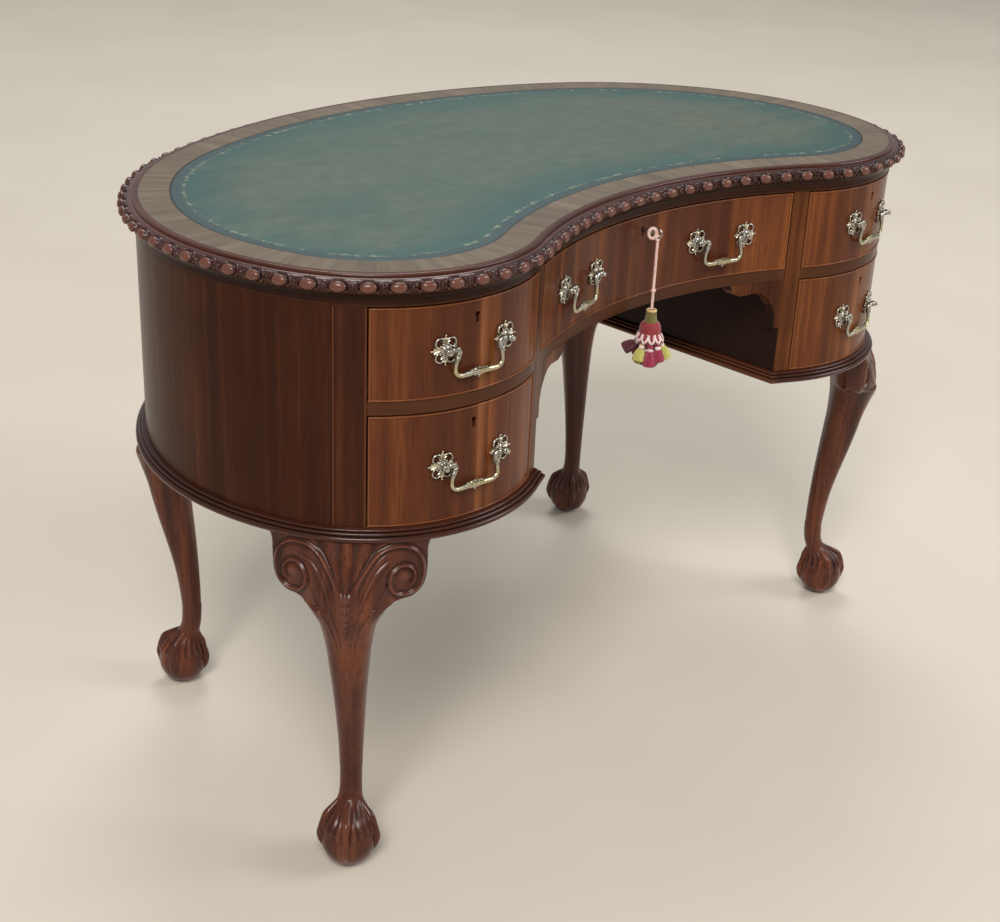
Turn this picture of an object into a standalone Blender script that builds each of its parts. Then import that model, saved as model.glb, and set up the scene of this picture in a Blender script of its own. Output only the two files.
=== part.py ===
"""Kidney shaped writing desk on cabriole legs, with five drawers, brass bails and a key with a tassel.

Metres, +Z up. The front, with the drawers, faces -Y. The desk stands on z = 0, centred over the origin.
Seen from above, the case wall is a chain of tangent arcs. A place on it is given by its station, which is
the distance along the wall from the middle of the back, positive round the right side and negative round
the left, and by its offset, positive outwards.
"""

import bisect
import math

import bmesh
import bpy
from mathutils import Matrix, Vector

# Case wall seen from above: arcs from the middle of the back round to the front
BACK_RADIUS = 0.857
SHOULDER_RADIUS = 0.394
SIDE_RADIUS = 0.337
LOBE_RADIUS = 0.201
BACK_TURN = 24.7
SHOULDER_TURN = 36.9
SIDE_TURN = 53.1
LOBE_TURN = 93.9
ARCS = (
    (BACK_RADIUS, BACK_TURN, 6),
    (SHOULDER_RADIUS, SHOULDER_TURN, 8),
    (SIDE_RADIUS, SIDE_TURN, 9),
    (LOBE_RADIUS, LOBE_TURN, 14),
)
HOLLOW_STEPS = 7
# Times that the search for a place on the wall halves its span
HALVINGS = 60

# Heights, from the floor up
DESK_HEIGHT = 0.762
TOP_THICKNESS = 0.0175
TOP_FRAME_HEIGHT = 0.0195
UPPER_DRAWER_OPENING = 0.1085
SHELF_THICKNESS = 0.0155
LOWER_DRAWER_OPENING = 0.1355
BASE_THICKNESS = 0.0148
TOP_UNDERSIDE = DESK_HEIGHT - TOP_THICKNESS
FRAME_UNDERSIDE = TOP_UNDERSIDE - TOP_FRAME_HEIGHT
SHELF_TOP = FRAME_UNDERSIDE - UPPER_DRAWER_OPENING
SHELF_UNDERSIDE = SHELF_TOP - SHELF_THICKNESS
BASE_TOP = SHELF_UNDERSIDE - LOWER_DRAWER_OPENING
BASE_UNDERSIDE = BASE_TOP - BASE_THICKNESS

# Joinery
SEAM = 0.0003
OVERRUN = 0.004
WALL = 0.020
KNEEHOLE_HALF = 0.2475
KNEEHOLE_SIDE = 0.0205
STILE_EDGE = KNEEHOLE_HALF + KNEEHOLE_SIDE
BACK_PANEL_TURN = 28.0
FRONT_LEG_TURN = 132.0
REAR_LEG_TURN = 35.3
POST_WIDTH = 0.038
POST_BEAD_WIDTH = 0.003
POST_BEAD_PROUD = 0.0015

# Top, with its leather, nosing and edge moulding
LEATHER_INSET = 0.042
LEATHER_THICKNESS = 0.0010
POCKET_DEPTH = 0.0013
RIM_OFFSET = -0.001
NOSING_OFFSET = 0.0035
NOSING_ROUND = 0.0025
RABBET_OFFSET = -0.004
MOULDING_HEIGHT = 0.0135
MOULDING_PROJECTION = 0.019
MOULDING_ROUND = 0.0025
# Heights of the edge moulding's lower edge, fullest line and upper edge, as shares of its height
MOULDING_SHARES = (0.06, 0.38, 0.76)
CAVETTO_PROJECTION = 0.011
# Hollow of the moulding under the top, from below: shares of its projection and of the frame's height
CAVETTO_SHARES = ((0.10, 0.30), (0.40, 0.70))
FRAME_WIDTH = 0.045
CROSS_RAIL_WIDTH = 0.034

# Base moulding
BASE_PROJECTION = 0.0133
# Shares of the projection and of the thickness, from the underside up
BASE_REED_SHARES = (
    (0.84, 0.0),
    (1.0, 0.12),
    (1.0, 0.30),
    (0.70, 0.42),
    (0.72, 0.60),
    (0.40, 0.70),
    (0.40, 0.88),
    (0.10, 1.0),
)

# Brackets under the centre shelf
BRACKET_LENGTH = 0.080
BRACKET_DROP = 0.070
BRACKET_THICKNESS = 0.014
# Outline from the tip along the lower edge: shares of the length from the tip and of the drop
BRACKET_SHARES = (
    (0.0, 0.0),
    (0.03, 0.10),
    (0.10, 0.19),
    (0.22, 0.245),
    (0.36, 0.235),
    (0.50, 0.215),
    (0.62, 0.245),
    (0.74, 0.35),
    (0.84, 0.51),
    (0.905, 0.70),
    (0.91, 1.0),
    (1.0, 1.0),
)

# Drawers
DRAWER_GAP = 0.001
DRAWER_TOP_GAP = 0.0012
DRAWER_FOOT_GAP = 0.0003
DRAWER_SIDE_CLEARANCE = 0.0015
DRAWER_REAR_CLEARANCE = 0.012
DRAWER_SIDE = 0.010
DRAWER_BOTTOM = 0.007
DRAWER_BOX_DROP = 0.014
COCK_BEAD_WIDTH = 0.0028
COCK_BEAD_PROUD = 0.0012
GUIDE_WIDTH = 0.012
GUIDE_HEIGHT = 0.012

# Locks, keyholes and the key
LOCK_WIDTH = 0.040
LOCK_HEIGHT = 0.029
LOCK_DEPTH = 0.009
LOCK_CLEARANCE = 0.0003
KEYHOLE_DROP = 0.0175
KEYHOLE_RADIUS = 0.0028
KEYHOLE_SLOT_WIDTH = 0.0030
KEYHOLE_SLOT_LENGTH = 0.0082
CHAMBER_RADIUS = 0.0085
CHAMBER_WALL = 0.002
MOUTH_OVERLAP = 0.001
BOLT_WIDTH = 0.012
BOLT_THICKNESS = 0.004
BOLT_HEIGHT = 0.0078
BOLT_TRAVEL = 0.006
SHANK_RADIUS = 0.0021
BIT_LENGTH = 0.0065
BIT_WIDTH = 0.0040
BIT_THICKNESS = 0.0018
BOW_RADIUS = 0.0072
BOW_WIRE = 0.0012
BOW_OUT = 0.0172
CORD_DIAMETER = 0.0035
CORD_LENGTH = 0.0935
# Distance between the points of the cord's line, in diameters
CORD_SPACING = 3
TASSEL_LENGTH = 0.0865
TASSEL_RADIUS = 0.0262
# Tassel profile: shares of the radius and of the length below its top
TASSEL_SHARES = (
    (0.17, 0.0),
    (0.28, 0.04),
    (0.30, 0.21),
    (0.36, 0.255),
    (0.56, 0.30),
    (0.57, 0.40),
    (0.74, 0.46),
    (0.86, 0.58),
    (0.97, 0.72),
    (1.0, 0.88),
    (0.84, 1.0),
)

# Handles
POST_HALF_SPAN = 0.041
PIVOT_OUT = 0.0090
HEAD_RADIUS = 0.0036
HEAD_HALF_LENGTH = 0.0034
KNOB_RADIUS = 0.0026
KNOB_LENGTH = 0.0030
NECK_RADIUS = 0.0029
BOSS_RADIUS = 0.0052
BOLT_SHANK_RADIUS = 0.0020
BOLT_HOLE_CLEARANCE = 0.0005
ROSETTE_GAP = 0.0007
ROSETTE_THICKNESS = 0.0015
ROSETTE_TIP = 0.0168
ROSETTE_NOTCH = 0.0115
ROSETTE_NOTCH_SHARE = 0.3
FOIL_DISTANCE = 0.0104
FOIL_RADIUS = 0.0056
FOIL_HOLE_RADIUS = 0.0037
FOIL_DIRECTIONS = (52, 128, 232, 308)
PIN_RADIUS = 0.0012
PIN_CLEARANCE = 0.0004
BAIL_RADIUS = 0.0023
BAIL_MIDDLE_RADIUS = 0.0040
BAIL_DROP = 0.0305
BAIL_RISE_SHARE = 0.97
# Half of the distance between the centre drawer's handles, as a share of half its width
CENTRE_HANDLE_SHARE = 0.57
HANDLE_HEIGHT_SHARE = 0.52
# Half of the bail from its pivot pin to the middle: how far it has come in, as shares of the drop,
# how low it is, as shares of the drop, and its thickness, from 0 for the pin to 1 for the plain bar
BAIL_NECK_SHARES = (
    (0.0, 0.0, 0.0),
    (0.15, 0.0, 0.0),
    (0.19, -0.01, 0.9),
    (0.27, -0.05, 1.2),
    (0.37, -0.04, 1.2),
    (0.45, 0.04, 1.2),
    (0.46, 0.14, 1.1),
    (0.42, 0.29, 1.0),
    (0.36, 0.46, 1.0),
    (0.33, 0.64, 1.0),
    (0.33, 0.79, 1.0),
    (0.39, 0.91, 1.0),
    (0.55, 1.0, 1.0),
    (0.83, 1.0, 1.0),
)

# Legs: sections from the top down, as the height share of the leg above its foot, and in metres
# the outer face and the inner face from the wall, and half of the width
FOOT_HEIGHT = 0.105
LEG_SECTION_SIDES = 12
LEG_SQUARENESS = 2.6
KNEE_OUT = 0.0358
ANKLE_OUT = -0.0170
LEG_BACK = -0.0430
LEG_BACK_NEAREST = -0.0300
LEG_TOP_HALF_WIDTH = 0.0440
ANKLE_HALF_WIDTH = 0.0138
REAR_LEG_LEAN = 0.0055
# Shares: height above the foot, reach from the ankle's front to the knee's front,
# depth of the back from the knee's to the ankle's, and width from the ankle's to the top's
LEG_SHARES = (
    (1.0, 0.52, 1.0, 1.0),
    (0.93, 0.74, 0.70, 1.0),
    (0.86, 0.90, 0.40, 1.0),
    (0.80, 0.995, 0.22, 0.98),
    (0.755, 1.0, 0.05, 0.86),
    (0.70, 0.90, 0.0, 0.68),
    (0.625, 0.76, 0.04, 0.46),
    (0.535, 0.64, 0.25, 0.345),
    (0.435, 0.48, 0.50, 0.245),
    (0.335, 0.31, 0.72, 0.165),
    (0.23, 0.155, 0.90, 0.093),
    (0.13, 0.06, 1.0, 0.033),
    (0.05, 0.01, 1.0, 0.007),
)
FOOT_OUT = -0.008
BALL_RADIUS = 0.0345
CLAW_SWELL = 0.0042
TALONS = 4
PAD_RADIUS = 0.016
# Foot sections from the top down: height, radius, how far the claws swell and how far its middle
# has moved from the ankle's to the foot's, each as a share
FOOT_SHARES = (
    (1.0, 0.42, 0.1, 0.15),
    (0.90, 0.46, 0.3, 0.5),
    (0.78, 0.60, 0.6, 0.85),
    (0.63, 0.83, 0.9, 1.0),
    (0.48, 0.99, 1.0, 1.0),
    (0.30, 0.96, 1.0, 1.0),
    (0.14, 0.76, 0.5, 1.0),
    (0.03, 0.55, 0.0, 1.0),
)

# Carved ears each side of a knee, along the wall
EAR_REACH = 0.093
EAR_DROP = 0.0640
EAR_BACK = -0.016
EAR_FRONT = 0.0105
# Lower edge from the tip in: shares of the reach and of the drop
EAR_SHARES = (
    (1.0, 0.04),
    (0.955, 0.11),
    (0.937, 0.25),
    (0.93, 0.50),
    (0.905, 0.70),
    (0.86, 0.86),
    (0.78, 0.965),
    (0.68, 1.0),
    (0.57, 0.965),
    (0.48, 0.90),
    (0.25, 0.90),
)

ROUND_SIDES = 8
SMALL_HOLE_SIDES = 6
TURNED_SIDES = 12
RING_SIDES = 16
SMOOTH_ANGLE = math.radians(35)

# Colours of the surfaces: colour, roughness, metallic
FINISHES = {
    "mahogany": ((0.135, 0.036, 0.017, 1.0), 0.32, 0.0),
    "drawer_lining": ((0.34, 0.20, 0.10, 1.0), 0.6, 0.0),
    "leather": ((0.045, 0.060, 0.038, 1.0), 0.5, 0.0),
    "brass": ((0.56, 0.47, 0.28, 1.0), 0.28, 1.0),
    "steel": ((0.35, 0.34, 0.32, 1.0), 0.4, 1.0),
    "cord": ((0.78, 0.48, 0.42, 1.0), 0.85, 0.0),
    "tassel": ((0.42, 0.06, 0.12, 1.0), 0.9, 0.0),
}


# Blender objects


def clear_scene():
    for obj in list(bpy.data.objects):
        bpy.data.objects.remove(obj, do_unlink=True)


def finish(name):
    """The material of this name, made on first use."""
    found = bpy.data.materials.get(name)
    if found:
        return found
    colour, roughness, metallic = FINISHES[name]
    material = bpy.data.materials.new(name)
    material.use_nodes = True
    shader = material.node_tree.nodes["Principled BSDF"]
    shader.inputs["Base Color"].default_value = colour
    shader.inputs["Roughness"].default_value = roughness
    shader.inputs["Metallic"].default_value = metallic
    material.diffuse_color = colour
    return material


def empty(name, location, parent=None):
    marker = bpy.data.objects.new(name, None)
    bpy.context.scene.collection.objects.link(marker)
    marker.location = location
    marker.empty_display_size = POST_WIDTH
    if parent:
        marker.parent = parent
        marker.location = Vector(location) - parent.location
    return marker


def place(obj, parent):
    """Hangs an object, whose location is still in the desk's plan, on its carrier."""
    obj.parent = parent
    obj.location = obj.location - parent.location
    return obj


def new_object(name, mesh, material):
    obj = bpy.data.objects.new(name, mesh)
    if not mesh.materials:
        mesh.materials.append(finish(material))
    bpy.context.scene.collection.objects.link(obj)
    return obj


def face_outwards(bm):
    bmesh.ops.recalc_face_normals(bm, faces=bm.faces)
    if bm.calc_volume(signed=True) < 0:
        bmesh.ops.reverse_faces(bm, faces=bm.faces)


def mesh_of(name, bm, smooth=False):
    face_outwards(bm)
    mesh = bpy.data.meshes.new(name)
    bm.to_mesh(mesh)
    bm.free()
    if smooth:
        mesh.shade_smooth()
        mesh.set_sharp_from_angle(angle=SMOOTH_ANGLE)
    return mesh


def loft_mesh(name, loops, ring=False, smooth=False):
    """A closed mesh through matching loops of points, capped at both ends unless it is a ring."""
    bm = bmesh.new()
    rows = [[bm.verts.new(point) for point in loop] for loop in loops]
    pairs = list(zip(rows, rows[1:]))
    if ring:
        pairs.append((rows[-1], rows[0]))
    else:
        bm.faces.new(rows[0])
        bm.faces.new(rows[-1])
    for row, after in pairs:
        for index, (near, far) in enumerate(zip(row, after, strict=True)):
            bm.faces.new((row[index - 1], near, far, after[index - 1]))
    return mesh_of(name, bm, smooth)


def loft(name, loops, material, ring=False, smooth=False):
    return new_object(name, loft_mesh(name, loops, ring, smooth), material)


def at_height(plan, height):
    return [Vector((point.x, point.y, height)) for point in plan]


def prism(name, plan, low, high, material, smooth=False):
    return loft(name, [at_height(plan, low), at_height(plan, high)], material, smooth=smooth)


def box(name, low, high, material):
    corners = ((low[0], low[1]), (high[0], low[1]), (high[0], high[1]), (low[0], high[1]))
    return prism(name, [Vector(corner) for corner in corners], low[2], high[2], material)


def turned(profile, sides, matrix=None):
    """Loops of a shape turned about Z from (radius, height) pairs."""
    loops = []
    for radius, height in profile:
        loop = []
        for side in range(sides):
            angle = math.tau * side / sides
            point = Vector((radius * math.cos(angle), radius * math.sin(angle), height))
            loop.append(matrix @ point if matrix else point)
        loops.append(loop)
    return loops


def cutter(obj):
    obj.hide_render = True
    obj.display_type = "WIRE"
    return obj


def combine(obj, other, operation):
    """Cuts the other shape from the object or joins it on."""
    cutter(other)
    if other.parent is None and obj.parent is not None:
        place(other, obj.parent)
    modifier = obj.modifiers.new(other.name, "BOOLEAN")
    modifier.operation = operation
    modifier.object = other


def baked_mesh(obj):
    """The object's mesh with its modifiers applied. The object and its cutters are removed."""
    bpy.context.view_layer.update()
    graph = bpy.context.evaluated_depsgraph_get()
    mesh = bpy.data.meshes.new_from_object(obj.evaluated_get(graph))
    helpers = [modifier.object for modifier in obj.modifiers]
    for helper in helpers + [obj]:
        bpy.data.objects.remove(helper, do_unlink=True)
    mesh.shade_smooth()
    mesh.set_sharp_from_angle(angle=SMOOTH_ANGLE)
    return mesh


# The case wall


def normal_at(turn):
    return Vector((math.sin(turn), math.cos(turn)))


def wall_corners():
    """Corners of the right half of the wall, from the middle of the back to the middle of the front."""
    turn = 0.0
    point = Vector((0, 0))
    corners = [(point, normal_at(turn), turn)]
    for radius, degrees, steps in ARCS:
        centre = point - normal_at(turn) * radius
        start = turn
        for step in range(1, steps + 1):
            turn = start + math.radians(degrees) * step / steps
            point = centre + normal_at(turn) * radius
            corners.append((point, normal_at(turn), turn))
    hollow_radius = point.x / -math.sin(turn)
    centre = point + normal_at(turn) * hollow_radius
    start = turn
    for step in range(1, HOLLOW_STEPS + 1):
        turn = start + (math.pi - start) * step / HOLLOW_STEPS
        corners.append((centre - normal_at(turn) * hollow_radius, normal_at(turn), turn))
    return corners


CORNERS = wall_corners()
STATIONS = [0.0]
for before, after in zip(CORNERS, CORNERS[1:]):
    STATIONS.append(STATIONS[-1] + (after[0] - before[0]).length)
HALF_RUN = STATIONS[-1]


def wall_point(station, offset=0.0):
    """The wall's point at this station, moved out by the offset. It runs on past the middle of the front."""
    if station > HALF_RUN:
        station -= HALF_RUN + HALF_RUN
    along = abs(station)
    index = min(bisect.bisect_right(STATIONS, along), len(STATIONS) - 1)
    share = (along - STATIONS[index - 1]) / (STATIONS[index] - STATIONS[index - 1])
    ends = [point + normal * offset for point, normal, _ in CORNERS[index - 1 : index + 1]]
    point = ends[0].lerp(ends[1], share)
    return Vector((math.copysign(point.x, station), point.y))


def wall_normal(station):
    return (wall_point(station, WALL) - wall_point(station)).normalized()


def corner_stations():
    """Stations of every corner, from the middle of the front round the left side, and on past it."""
    right = list(STATIONS)
    left = [-station for station in reversed(STATIONS[1:])]
    past_front = [HALF_RUN + HALF_RUN - station for station in reversed(STATIONS[:-1])]
    return left + right + past_front


def wall_stations(start, end):
    inside = [station for station in corner_stations() if start + SEAM < station < end - SEAM]
    return [start] + inside + [end]


def wall_run(start, end, offset):
    """Points along the wall between two stations, start before end."""
    return [wall_point(station, offset) for station in wall_stations(start, end)]


def matching_runs(runs):
    """Runs along the wall, each (start, end, offset), with a corner only where every one of them has it."""
    first = max(start for start, _, _ in runs)
    last = min(end for _, end, _ in runs)
    inside = wall_stations(first, last)[1:-1]
    return [[wall_point(at, offset) for at in [start] + inside + [end]] for start, end, offset in runs]


def station_at_turn(degrees):
    turn = math.radians(degrees)
    for index, corner in enumerate(CORNERS):
        if corner[2] >= turn:
            share = (turn - CORNERS[index - 1][2]) / (corner[2] - CORNERS[index - 1][2])
            return STATIONS[index - 1] + (STATIONS[index] - STATIONS[index - 1]) * share
    raise ValueError("the wall has no such turn")


def station_at_x(x, offset, low, high):
    """The station between low and high where the wall, moved out by the offset, crosses x."""
    rising = wall_point(high, offset).x > wall_point(low, offset).x
    for _ in range(HALVINGS):
        middle = (low + high) / 2
        if (wall_point(middle, offset).x < x) == rising:
            low = middle
        else:
            high = middle
    return (low + high) / 2


WIDEST_STATION = station_at_turn(90)


def front_station(x, offset=0.0):
    return station_at_x(x, offset, WIDEST_STATION, HALF_RUN)


def rear_station(x, offset=0.0):
    return station_at_x(x, offset, 0.0, WIDEST_STATION)


def front_run(outer_x, inner_x, offset):
    """Along the front from outer_x in to inner_x, both on the right half."""
    return wall_run(front_station(outer_x, offset), front_station(inner_x, offset), offset)


def across_front(x, offset):
    """Along the front from x on the right to the same place on the left."""
    station = front_station(x, offset)
    return wall_run(station, HALF_RUN + HALF_RUN - station, offset)


def across_back(x, offset):
    """Along the back from x on the left to the same place on the right."""
    station = rear_station(x, offset)
    return wall_run(-station, station, offset)


def on_side(plan, side):
    """The plan as it is on the right, or mirrored for the left."""
    return [Vector((point.x * side, point.y)) for point in plan]


POST_STATION = station_at_turn(FRONT_LEG_TURN)
POST_START = POST_STATION - POST_WIDTH / 2
POST_EDGE = wall_point(POST_STATION + POST_WIDTH / 2).x
INNER_FACE = -WALL - SEAM
SIDES = (("left", -1), ("right", 1))


# Top


def ring_loops(profile):
    """Loops of a profile of (offset, height) pairs carried right round the wall."""
    stations = corner_stations()[: 2 * len(STATIONS) - 2]
    loops = []
    for station in stations:
        points = [(wall_point(station, offset), height) for offset, height in profile]
        loops.append([Vector((point.x, point.y, height)) for point, height in points])
    return loops


def whole_plan(offset):
    stations = corner_stations()[: 2 * len(STATIONS) - 2]
    return [wall_point(station, offset) for station in stations]


def make_top_board():
    """Top board with a rounded nosing, a rabbet below it for the moulding and a pocket for the leather."""
    rabbet_top = TOP_UNDERSIDE + SEAM + MOULDING_HEIGHT + SEAM
    profile = (
        (RABBET_OFFSET, TOP_UNDERSIDE + SEAM),
        (RABBET_OFFSET, rabbet_top),
        (NOSING_OFFSET, rabbet_top),
        (NOSING_OFFSET, DESK_HEIGHT - NOSING_ROUND / 2),
        (RIM_OFFSET, DESK_HEIGHT),
        (SEAM - LEATHER_INSET, DESK_HEIGHT),
        (SEAM - LEATHER_INSET, DESK_HEIGHT - POCKET_DEPTH),
    )
    loops = [at_height(whole_plan(offset), height) for offset, height in profile]
    return loft("top_board", loops, "mahogany")


def make_leather():
    plan = whole_plan(-LEATHER_INSET)
    underside = DESK_HEIGHT - LEATHER_THICKNESS
    return prism("leather_inset", plan, underside, DESK_HEIGHT, "leather")


def make_edge_moulding():
    """Moulding planted round the edge of the top. Its beads lie within this outline."""
    low = TOP_UNDERSIDE + SEAM
    inner = RABBET_OFFSET + SEAM
    lower, fullest, upper = [low + MOULDING_HEIGHT * share for share in MOULDING_SHARES]
    profile = (
        (inner, low),
        (CAVETTO_PROJECTION, low),
        (MOULDING_PROJECTION - MOULDING_ROUND, lower),
        (MOULDING_PROJECTION, fullest),
        (MOULDING_PROJECTION - MOULDING_ROUND, upper),
        ((MOULDING_PROJECTION + NOSING_OFFSET) / 2, low + MOULDING_HEIGHT),
        (inner, low + MOULDING_HEIGHT),
    )
    return loft("edge_moulding", ring_loops(profile), "mahogany", ring=True, smooth=True)


def make_top_frame(desk):
    """Frame under the top, with a hollow moulding on its face, cross rails and the lock's mortise."""
    low = FRAME_UNDERSIDE + SEAM
    high = TOP_UNDERSIDE
    height = high - low
    profile = [(-FRAME_WIDTH, low), (0.0, low)]
    profile += [(CAVETTO_PROJECTION * out, low + height * up) for out, up in CAVETTO_SHARES]
    profile += [(CAVETTO_PROJECTION, high), (-FRAME_WIDTH, high)]
    frame = loft("top_frame", ring_loops(profile), "mahogany", ring=True, smooth=True)
    frame.parent = desk
    inner = -FRAME_WIDTH + OVERRUN
    for name, side in SIDES:
        x_low = STILE_EDGE - CROSS_RAIL_WIDTH
        rail = [
            wall_point(front_station(STILE_EDGE, inner), inner),
            wall_point(front_station(x_low, inner), inner),
            wall_point(rear_station(x_low, inner), inner),
            wall_point(rear_station(STILE_EDGE, inner), inner),
        ]
        cross_rail = prism(f"{name}_cross_rail", on_side(rail, side), low, high, "mahogany")
        combine(frame, cross_rail, "UNION")
    mortise_top = low + BOLT_TRAVEL + LOCK_CLEARANCE
    mortise = bolt_block("bolt_mortise", low - OVERRUN, mortise_top, LOCK_CLEARANCE)
    combine(frame, mortise, "DIFFERENCE")
    return frame


# Case


def make_front_post(name, side):
    """Post over a front leg, with a bead down each edge."""
    bead_end = POST_START + POST_BEAD_WIDTH
    bead_start = front_station(POST_EDGE) - POST_BEAD_WIDTH
    plan = wall_run(POST_START, bead_end, POST_BEAD_PROUD)
    plan += wall_run(bead_end, bead_start, 0.0)
    plan += wall_run(bead_start, front_station(POST_EDGE, POST_BEAD_PROUD), POST_BEAD_PROUD)
    plan += reversed(wall_run(POST_START, front_station(POST_EDGE, -WALL), -WALL))
    return prism(name, on_side(plan, side), BASE_TOP + SEAM, FRAME_UNDERSIDE, "mahogany")


def make_wall_panel(name, start, end):
    plan = wall_run(start, end, 0.0)
    plan += reversed(wall_run(start, end, -WALL))
    return prism(name, plan, BASE_TOP + SEAM, FRAME_UNDERSIDE, "mahogany", smooth=True)


def make_kneehole_side(name, side):
    """Side of the kneehole, whose front edge shows between the drawers."""
    plan = front_run(STILE_EDGE, KNEEHOLE_HALF, 0.0)
    rear = [rear_station(x, INNER_FACE) for x in (KNEEHOLE_HALF, STILE_EDGE)]
    plan += wall_run(rear[0], rear[1], INNER_FACE)
    return prism(name, on_side(plan, side), BASE_TOP + SEAM, FRAME_UNDERSIDE, "mahogany")


def make_guide(name, side, low):
    """Strip that guides a drawer's outer side."""
    far_x = POST_EDGE + GUIDE_WIDTH
    front = wall_point(front_station(far_x, -WALL), -WALL).y + OVERRUN
    rear = wall_point(rear_station(far_x, INNER_FACE), INNER_FACE).y - OVERRUN
    corners = ((POST_EDGE, front), (far_x, front), (far_x, rear), (POST_EDGE, rear))
    plan = on_side([Vector(corner) for corner in corners], side)
    return prism(name, plan, low - OVERRUN, low + GUIDE_HEIGHT, "mahogany")


def make_mid_shelf(name, side, desk):
    """Rail and dustboard between the two drawers of a pedestal."""
    post_x = POST_EDGE - SEAM
    stile_x = STILE_EDGE + SEAM
    plan = front_run(post_x, stile_x, 0.0)
    plan += wall_run(rear_station(stile_x, INNER_FACE), front_station(post_x, INNER_FACE), INNER_FACE)
    shelf = prism(name, on_side(plan, side), SHELF_UNDERSIDE + SEAM, SHELF_TOP, "mahogany")
    shelf.parent = desk
    combine(shelf, make_guide(f"{name}_guide", side, SHELF_TOP), "UNION")
    return shelf


def make_centre_shelf():
    """Rail and dustboard under the centre drawer."""
    plan = across_front(KNEEHOLE_HALF - SEAM, 0.0)
    plan += across_back(KNEEHOLE_HALF - SEAM, INNER_FACE)
    return prism("centre_shelf", plan, SHELF_UNDERSIDE, SHELF_TOP, "mahogany")


def base_levels():
    return [(BASE_PROJECTION * out, BASE_UNDERSIDE + BASE_THICKNESS * up) for out, up in BASE_REED_SHARES]


def make_base_board(name, side, desk):
    """Floor of a pedestal, with the reeded base moulding on its edge."""
    runs = []
    for out, _ in base_levels():
        x = KNEEHOLE_HALF - out
        runs.append((rear_station(x, out), front_station(x, out), out))
    plans = matching_runs(runs)
    loops = []
    for plan, (_, height) in zip(plans, base_levels()):
        loops.append(at_height(on_side(plan, side), height))
    board = loft(name, loops, "mahogany")
    board.parent = desk
    combine(board, make_guide(f"{name}_guide", side, BASE_TOP), "UNION")
    return board


def make_rear_base_rail():
    outer = []
    inner = []
    for out, _ in base_levels():
        x = KNEEHOLE_HALF - out - SEAM
        for runs, offset in ((outer, out), (inner, -WALL - out)):
            station = rear_station(x, offset)
            runs.append((-station, station, offset))
    loops = []
    for (_, height), near, far in zip(base_levels(), matching_runs(outer), matching_runs(inner)):
        loops.append(at_height(near + far[::-1], height))
    return loft("rear_base_rail", loops, "mahogany")


def column(spots, low, high):
    """An upright rectangle between a back spot and a front spot."""
    back, front = spots
    return [
        Vector((back.x, back.y, low)),
        Vector((front.x, front.y, low)),
        Vector((front.x, front.y, high)),
        Vector((back.x, back.y, high)),
    ]


def make_bracket(name, side):
    """Shaped bracket in the corner under the centre shelf."""
    top = SHELF_UNDERSIDE - SEAM
    loops = []
    for along, drop in BRACKET_SHARES:
        x = KNEEHOLE_HALF - SEAM - BRACKET_LENGTH * (1 - along)
        spots = []
        for offset in (-BRACKET_THICKNESS, 0.0):
            spots.append(wall_point(front_station(x, offset), offset))
        loops.append(column(on_side(spots, side), top - BRACKET_DROP * drop, top))
    return loft(name, loops, "mahogany")


# Legs


def leg_outline(out, back, half_width, height):
    """One squarish section of a leg in its own frame: X across, -Y outwards."""
    middle = (out + back) / 2
    half_depth = (out - back) / 2
    loop = []
    for side in range(LEG_SECTION_SIDES):
        angle = math.tau * side / LEG_SECTION_SIDES
        across = math.cos(angle)
        outward = math.sin(angle)
        x = math.copysign(abs(across) ** (2 / LEG_SQUARENESS), across) * half_width
        y = math.copysign(abs(outward) ** (2 / LEG_SQUARENESS), outward) * half_depth
        loop.append(Vector((x, -middle - y, height)))
    return loop


def foot_outline(radius, swell, middle, height):
    """One section of the claw and ball foot, with a talon at the front, the back and each side."""
    loop = []
    for side in range(LEG_SECTION_SIDES):
        angle = math.tau * side / LEG_SECTION_SIDES
        reach = radius + swell * max(0.0, math.cos(TALONS * angle))
        loop.append(Vector((reach * math.cos(angle), -middle - reach * math.sin(angle), height)))
    return loop


def leg_loops(lean):
    """Sections of a leg and its foot. Only the leg stands further out by the lean."""
    top = BASE_UNDERSIDE - SEAM
    loops = []
    for height, reach, depth, width in LEG_SHARES:
        z = FOOT_HEIGHT + (top - FOOT_HEIGHT) * height
        out = lean + ANKLE_OUT + (KNEE_OUT - ANKLE_OUT) * reach
        back = lean + LEG_BACK_NEAREST + (LEG_BACK - LEG_BACK_NEAREST) * depth
        half_width = ANKLE_HALF_WIDTH + (LEG_TOP_HALF_WIDTH - ANKLE_HALF_WIDTH) * width
        loops.append(leg_outline(out, back, half_width, z))
    ankle = lean + (ANKLE_OUT + LEG_BACK) / 2
    for height, size, claws, shift in FOOT_SHARES:
        middle = ankle + (FOOT_OUT - ankle) * shift
        loops.append(foot_outline(BALL_RADIUS * size, CLAW_SWELL * claws, middle, FOOT_HEIGHT * height))
    loops.append(foot_outline(PAD_RADIUS, 0.0, FOOT_OUT, 0.0))
    return loops


def ear_loops(station):
    """Both ears of a knee, from the tip on one side to the tip on the other."""
    top = BASE_UNDERSIDE - SEAM - SEAM
    columns = [(-along, drop) for along, drop in EAR_SHARES] + list(reversed(EAR_SHARES))
    loops = []
    for along, drop in columns:
        at = station + EAR_REACH * along
        spots = [wall_point(at, offset) for offset in (EAR_BACK, EAR_FRONT)]
        loops.append(column(spots, top - EAR_DROP * drop, top))
    return loops


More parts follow.
